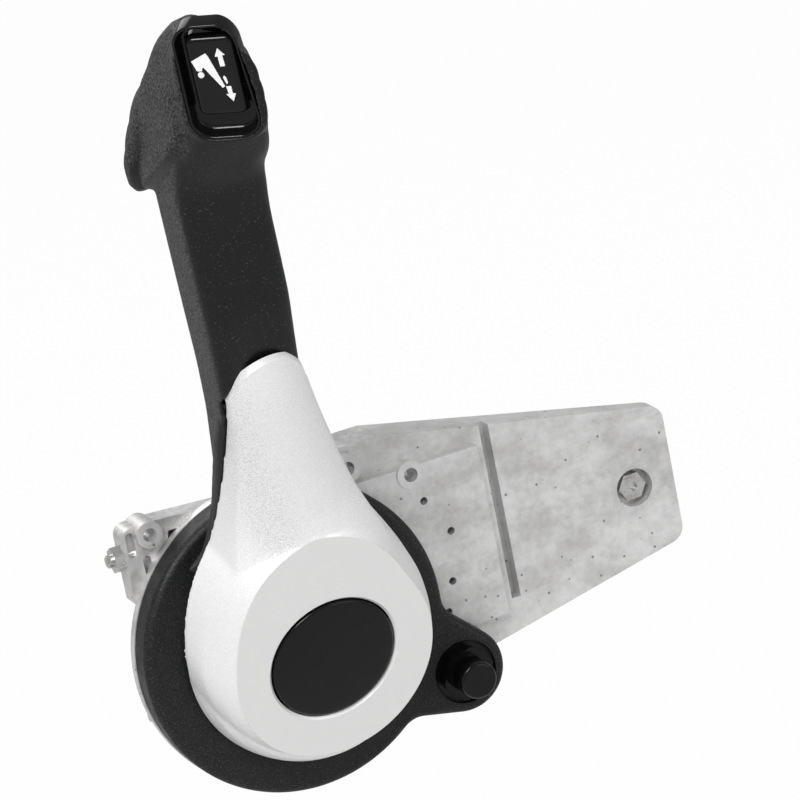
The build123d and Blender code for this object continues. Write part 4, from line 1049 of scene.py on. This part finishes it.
    def mark_finish(self, mesh: Mesh) -> None:
        """Stores where the skin is the flat face, and the band where the flake relief is coarser and the
        flakes' glints are painted in.
        """
        x, t, s = LEVER.local(mesh_array(mesh.vertices)).T
        flat = (1 - smoothstep(*self.face_fade, np.abs(s))) * (1 - smoothstep(*self.face_end, t))
        middle, width, lean, height = self.sparkle
        sparkle = np.exp(-(((x - middle + lean * (t - height)) / width) ** 2))
        store(mesh, "flat", flat)
        store(mesh, "sparkle", sparkle * (smoothstep(*self.sparkle_start, t) * (1 - flat)))


@dataclass
class ArmSkin:
    """The lever's inner arm with its left edge drawn in to a slender blade beside the cover.

    An edge point is (u, v) as seen along the slanted line of the lever's brow.
    """

    edge: tuple = (
        (44.0, -38.2), (54.0, -32.8), (63.0, -28.4), (74.0, -24.6), (89.0, -20.9), (101.0, -17.8),
    )
    blade_start: Pair = (34.0, 44.0)
    blade_end: Pair = (104.0, 114.0)
    most_move: float = 8.0
    depth: float = 12.0
    row_height: float = 1.5
    row_count: int = 200
    lowest: float = -60.0
    voxel: float = 0.6

    def drawn_in(self, points: Array) -> Array:
        """Draws the left edge in to the blade's.

        In each row of u the points within a depth of the leftmost one move right, the
        outermost by the whole difference between it and the wanted edge.

        Args:
            points: the arm's vertices in the lever's axes.

        Returns:
            The moved vertices.
        """
        v, u = seen_slanted(points)
        row = np.clip(((u - self.lowest) / self.row_height).astype(int), 0, self.row_count - 1)
        left = -farthest_by(row, -v, self.row_count, -40.0)
        middle = (np.arange(self.row_count) + 0.5) * self.row_height + self.lowest
        left = np.interp(u, middle, bell_smooth(left, 4))
        gap = np.interp(u, *np.array(self.edge).T) - left
        part = smoothstep(*self.blade_start, u) * (1 - smoothstep(*self.blade_end, u))
        move = np.clip(gap, 0.0, self.most_move) * (1 - smoothstep(0.0, self.depth, v - left)) * part
        return points + np.column_stack([move, np.zeros((len(points), 2))])

    def build(self, finish: Material) -> Object:
        """Builds the arm: a fine skin over its solid, with the blade drawn in."""
        obj = frame["nodes"]["lever_arm"].copy()
        obj.data = obj.data.copy()
        obj.name = "arm_skin"
        bpy.context.scene.collection.objects.link(obj)
        obj.modifiers.new("weld", "WELD").merge_threshold = 0.01 * MM
        remeshed(obj, self.voxel, rounds=3)
        mesh = obj.data
        place = np.array(obj.matrix_world)
        points = LEVER.local(mesh_array(mesh.vertices) @ place[:3, :3].T + place[:3, 3])
        obj.matrix_world = Matrix.Identity(4)
        move_vertices(mesh, LEVER.place(self.drawn_in(points)))
        shade_smooth(mesh, 40.0)
        dress(obj, finish)
        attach(obj, "lever")
        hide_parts("lever_arm")
        return obj


@dataclass
class ButtonCap:
    """The round glossy button in the flat face: a slightly domed disc with a rounded edge."""

    middle: Pair = (0.9, 1.7)
    profile: tuple = (
        (9.0, -7.0), (19.2, -7.0), (19.7, -6.5), (19.75, -0.6), (19.55, -0.12), (19.1, 0.14), (18.3, 0.26),
        (16.0, 0.42), (11.0, 0.68), (5.0, 0.84), (0.6, 0.88),
    )

    def build(self, finish: Material) -> Object:
        """Builds the button: the profile's radii and levels turned about the face's middle."""
        obj = turned("button_cap", self.profile, self.middle, 50.0)
        dress(obj, finish)
        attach(obj, "throttle_button")
        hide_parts("throttle_only_button")
        return obj


@dataclass
class TrimSwitch:
    """The trim switch in the head: glossy surround, bevelled rocker and its printed marks.

    Levels are along the switch's out axis, from the rocker's top. Sizes are (width, length,
    corner radius), then how far along the middle is. The dot is (x, y, radius, stretch).
    """

    surround: Four = (19.7, 36.7, 6.5, -1.3)
    surround_profile: tuple = (
        (0.00, -4.0), (0.00, 0.3), (0.12, 0.62), (0.38, 0.80), (0.66, 0.74), (0.90, 0.45),
        (1.00, -0.4), (1.15, -1.9), (1.55, -2.7), (2.2, -3.05), (2.4, -3.1),
    )
    rocker: Triple = (13.4, 25.0, 2.4)
    rocker_profile: tuple = (
        (0.0, -4.8), (0.0, -1.6), (0.1, -1.1), (0.34, -0.62), (0.72, -0.3), (1.2, -0.1), (1.7, -0.03),
        (2.3, -0.1), (4.4, -0.16),
    )
    marks: tuple = (
        ("mark_leg", (
            (-5.66, 5.48), (-1.42, 7.69), (-0.9, 6.7), (1.95, -3.1), (1.25, -3.5), (-2.75, 3.35),
            (-3.15, 3.02), (-3.3, 2.2), (-4.4, 2.2), (-4.75, 2.5),
        )),
        ("mark_up", (
            (2.05, 9.1), (3.75, 6.9), (3.0, 6.8), (3.2, 3.4), (1.85, 3.3), (1.75, 6.5), (0.95, 6.5),
        )),
        ("mark_mid", (
            (2.2, 0.3), (2.75, -0.3), (2.95, -2.0), (2.55, -2.5), (2.15, -1.2), (1.95, -0.2),
        )),
        ("mark_down", (
            (2.2, -3.2), (3.55, -3.15), (3.6, -5.5), (4.4, -5.6), (3.35, -8.0), (1.85, -5.7),
            (2.5, -5.6),
        )),
    )
    dot: Four = (-3.82, 0.99, 0.85, 1.1)
    switch_body: Four = (11.6, 21.0, 1.6, -3.0)
    switch_body_levels: Pair = (-10.0, -4.3)
    opening: Triple = (14.1, 27.0, 2.7)
    floor: float = -3.15
    underside: float = -4.2
    least_radius: float = 0.4
    print_low: float = -0.30
    print_top: float = 0.03

    def ring_rows(self, size: tuple, profile: tuple, count: int = 64, centre: float = 0.0) -> Array:
        """Carries a profile round a rounded rectangle.

        Args:
            size: the outline's width, length and corner radius.
            profile: (inset, level) pairs from the foot over the rim.
            count: points on each ring.
            centre: how far along the outline's centre is.

        Returns:
            One ring per profile pair: the outline drawn in by the inset, at the level.
        """
        inset, level = np.array(profile, float).T
        wide, tall, radius = size
        radius = np.maximum(radius - inset, self.least_radius)
        outline = rounded_outline(wide - 2 * inset, tall - 2 * inset, radius, count)
        return rings(outline[..., 0], outline[..., 1] + centre, level[:, None])

    def build_surround(self, finish: Material) -> Object:
        """Builds the glossy surround with its floor and the opening round the rocker."""
        *size, centre = self.surround
        foot = self.surround_profile[0]
        rows = np.concatenate([
            self.ring_rows(size, self.surround_profile, 96, centre),
            self.ring_rows(self.opening, ((0.0, self.floor), (0.0, self.underside)), 96),
            self.ring_rows(size, ((0.0, self.underside), foot), 96, centre),
        ])
        rows[..., 0] *= narrowing(rows[..., :2])
        obj = grid_object("trim_surround", TRIM.place(rows), closed_ends=False, sharp=50)
        dress(obj, finish)
        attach(obj, "lever")
        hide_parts("trim_frame")
        return obj

    def build_rocker(self, finish: Material) -> Object:
        """Builds the rocker: an upright wall, a rounded edge and a slightly dished top."""
        rows = self.ring_rows(self.rocker, self.rocker_profile, 96)
        obj = grid_object("rocker_cap", TRIM.place(rows), sharp=50)
        dress(obj, finish)
        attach(obj, "trim_switch")
        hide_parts("trim_rocker")
        return obj

    def build_switch_body(self, finish: Material) -> Object:
        """Builds the switch's body under the surround, small enough for the head's skin."""
        *size, centre = self.switch_body
        rows = self.ring_rows(size, [(0.0, level) for level in self.switch_body_levels], 48, centre)
        obj = grid_object("switch_body", TRIM.place(rows), sharp=50)
        dress(obj, finish)
        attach(obj, "lever")
        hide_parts("trim_switch_body")
        return obj

    def build_mark(self, name: str, outline: Array, finish: Material) -> Object:
        """Builds one printed mark as a thin prism over its outline.

        Args:
            name: the piece's name.
            outline: its corners, across and along the switch.
            finish: the print's material.

        Returns:
            The object.
        """
        count = len(outline)
        level = np.repeat([self.print_low, self.print_top], count)
        points = np.column_stack([np.tile(outline, (2, 1)), level])
        a, b = np.arange(count), (np.arange(count) + 1) % count
        faces = np.stack([a, b, b + count, a + count], -1).tolist()
        faces += [list(range(count - 1, -1, -1)), list(range(count, 2 * count))]
        obj = mesh_object(name, TRIM.place(points), faces, 20)
        dress(obj, finish)
        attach(obj, "trim_switch")
        return obj

    def build(self, gloss: Material, plastic: Material, white: Material) -> None:
        """Builds and dresses the whole switch.

        Args:
            gloss: the mouldings' finish.
            plastic: the body's finish.
            white: the print's finish.
        """
        self.build_surround(gloss)
        self.build_switch_body(plastic)
        self.build_rocker(gloss)
        for name, outline in self.marks:
            self.build_mark(name, np.array(outline, float), white)
        x, y, radius, tall = self.dot
        self.build_mark("mark_dot", circle(radius, 28) * (1.0, tall) + (x, y), white)


@dataclass
class Hardware:
    """The carried-over solids and the finish of each: by material slot, then by node."""

    by_slot: dict
    by_node: dict

    def dress_all(self) -> None:
        """Gives every node of the frame its finish."""
        slots = {part["node"]: part["material_slot"] for part in frame["record"]["subparts"]}
        for name, obj in frame["nodes"].items():
            slot = slots.get(name, "")
            finish = self.by_node.get(name) or self.by_slot.get(slot) or self.by_slot["steel"]
            dress(obj, finish)
            log.info("node %s takes %s", name, finish.name)


# ---- studio ----


@dataclass
class Studio:
    """Plain pale floor and backdrop, soft lamps, and the camera.

    Directions are unit vectors: right, up and back of the camera. The hub's centre falls at
    the given pixel of the square frame.
    """

    right: Triple = (0.903, -0.385, -0.188)
    back: Triple = (-0.3216, -0.8985, 0.3008)
    distance: float = 1.5
    pixel_size: float = 0.0003
    hub_pixel: Pair = (286.0, 632.0)
    frame_pixels: int = 800
    sensor: float = 36.0
    aim: Triple = (0.02, -0.03, 0.07)
    lamps: tuple = (
        ("key", (-0.9, -1.3, 1.5), 0.9, 30.0),
        ("fill", (1.2, -1.5, 0.5), 1.2, 6.0),
        ("sheen", (-0.9, -0.9, 1.2), 0.3, 6.0),
        ("rim", (-0.4, 1.3, 1.2), 1.0, 10.0),
    )
    floor_level: float = -0.32
    floor_half: float = 6.0
    floor_tone: float = 0.62
    floor_glow: float = 0.97
    room_light: float = 0.5

    def build_camera(self) -> None:
        """Places the camera, with a lens that gives the pixel size at the hub's distance."""
        back = unit(np.array(self.back))
        right = np.array(self.right)
        right = unit(right - back * (right @ back))
        up = np.cross(back, right)
        half = self.frame_pixels / 2
        place = (right * (half - self.hub_pixel[0]) + up * (self.hub_pixel[1] - half)) * self.pixel_size
        place = place + back * self.distance
        data = bpy.data.cameras.new("camera")
        data.sensor_width = self.sensor
        data.lens = self.sensor * self.distance / self.pixel_size / self.frame_pixels
        data.clip_start, data.clip_end = 0.05, 50.0
        bpy.context.scene.camera = self.stand(data, place, right, up, back)

    def build_lamp(self, name: str, place: tuple, size: float, power: float) -> None:
        """Adds a square soft lamp that faces the object's middle.

        Args:
            name: the lamp's name.
            place: where it stands, in metres.
            size: its side, in metres.
            power: its power, in watts.
        """
        data = bpy.data.lights.new(name, "AREA")
        data.shape, data.size, data.energy = "SQUARE", size, power
        out = unit(np.array(place) - np.array(self.aim))
        side = unit(np.cross((0.0, 0.0, 1.0), out))
        self.stand(data, place, side, np.cross(out, side), out)

    def stand(self, data: bpy.types.ID, place: tuple, *directions: Array) -> Object:
        """Stands a camera or lamp at a place, with its right, up and back along the directions."""
        obj = bpy.data.objects.new(data.name, data)
        turn = Matrix(np.column_stack(directions).tolist()).to_4x4()
        obj.matrix_world = Matrix.Translation(tuple(place)) @ turn
        bpy.context.scene.collection.objects.link(obj)
        return obj

    def build_floor(self) -> None:
        """Lays the floor: pale, and nearly white to the camera, with the object's shadow on it."""
        corner = np.array([(-1, -1), (1, -1), (1, 1), (-1, 1)]) * self.floor_half
        points = np.column_stack([corner, np.full(4, self.floor_level)])
        mesh = bpy.data.meshes.new("floor")
        mesh.from_pydata(points.tolist(), [], [(0, 1, 2, 3)])
        floor = bpy.data.objects.new("floor", mesh)
        bpy.context.scene.collection.objects.link(floor)
        material = bpy.data.materials.new("floor_paint")
        material.use_nodes = True
        tree = material.node_tree
        shader = tree.nodes["Principled BSDF"]
        shader.inputs["Base Color"].default_value = (*grey(self.floor_tone), 1)
        shader.inputs["Roughness"].default_value = 0.9
        glow = tree.nodes.new("ShaderNodeEmission")
        self.show_camera(tree, shader, glow, tree.nodes["Material Output"], self.floor_glow)
        dress(floor, material)

    def build_world(self) -> None:
        """Lights the room evenly and shows white behind the object."""
        world = bpy.data.worlds.new("room")
        bpy.context.scene.world = world
        world.use_nodes = True
        tree = world.node_tree
        light = tree.nodes["Background"]
        light.inputs["Color"].default_value = (*grey(1.0), 1)
        light.inputs["Strength"].default_value = self.room_light
        white = tree.nodes.new("ShaderNodeBackground")
        white.inputs["Color"].default_value = (*grey(1.0), 1)
        white.inputs["Strength"].default_value = 1.0
        self.show_camera(tree, light, white, tree.nodes["World Output"], 1.0)

    def show_camera(self, tree: bpy.types.NodeTree, others: bpy.types.Node, seen: bpy.types.Node,
                    output: bpy.types.Node, share: float) -> None:
        """Shows one surface to the camera and another to every other ray.

        Args:
            tree: the node tree.
            others: the surface for other rays, and for the rest of the camera's.
            seen: the surface for the camera's rays.
            output: the tree's output.
            share: how much of what the camera sees is the second surface.
        """
        path = tree.nodes.new("ShaderNodeLightPath")
        part = tree.nodes.new("ShaderNodeMath")
        part.operation = "MULTIPLY"
        part.inputs[1].default_value = share
        mix = tree.nodes.new("ShaderNodeMixShader")
        tree.links.new(path.outputs["Is Camera Ray"], part.inputs[0])
        tree.links.new(part.outputs[0], mix.inputs[0])
        tree.links.new(others.outputs[0], mix.inputs[1])
        tree.links.new(seen.outputs[0], mix.inputs[2])
        tree.links.new(mix.outputs[0], output.inputs["Surface"])

    def build(self) -> None:
        """Builds the whole studio."""
        bpy.context.scene.view_settings.view_transform = "Standard"
        self.build_camera()
        for lamp in self.lamps:
            self.build_lamp(*lamp)
        self.build_floor()
        self.build_world()


def main() -> None:
    """Builds the looks piece by piece."""
    logging.basicConfig(level=logging.INFO, format="%(name)s: %(message)s")
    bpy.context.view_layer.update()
    Studio().build()
    log.info("studio built")
    gloss = GlossBlack("gloss_black").make()
    steel = MachinedMetal("bright_steel").make()
    hardware = Hardware(
        by_slot={
            "cast_aluminium": CastMetal().make(),
            "black_bezel": GrainedBlack("bezel_coat", grain=1500, depth=0.00016, glints=0.55).make(),
            "silver_paint": SilverCoat().make(),
            "black_arm": GrainedBlack("arm_coat", 0.008, 0.014, rough=0.38, depth=0.00003).make(),
            "grip_rubber": gloss,
            "gloss_black": gloss,
            "black_plastic": GrainedBlack("moulded_black", dark=0.012, light=0.022, rough=0.45).make(),
            "steel": steel,
            "bronze": MachinedMetal("bush_bronze", (0.50, 0.33, 0.16), (0.26, 0.15, 0.07), 0.32).make(),
        },
        by_node={"stop_switch_washer": gloss},
    )
    hardware.dress_all()
    grip = LeverGrip().build()
    dress(grip, GripSkin().make())
    log.info("lever grip built: %d faces", len(grip.data.polygons))
    cover = HubCover().build(hardware.by_slot["silver_paint"])
    log.info("hub cover built: %d faces", len(cover.data.polygons))
    ArmSkin().build(hardware.by_slot["black_arm"])
    ButtonCap().build(gloss)
    TrimSwitch().build(gloss, hardware.by_slot["black_plastic"], PrintedWhite().make())
    log.info("trim switch built")


if __name__ == "__main__":
    main()
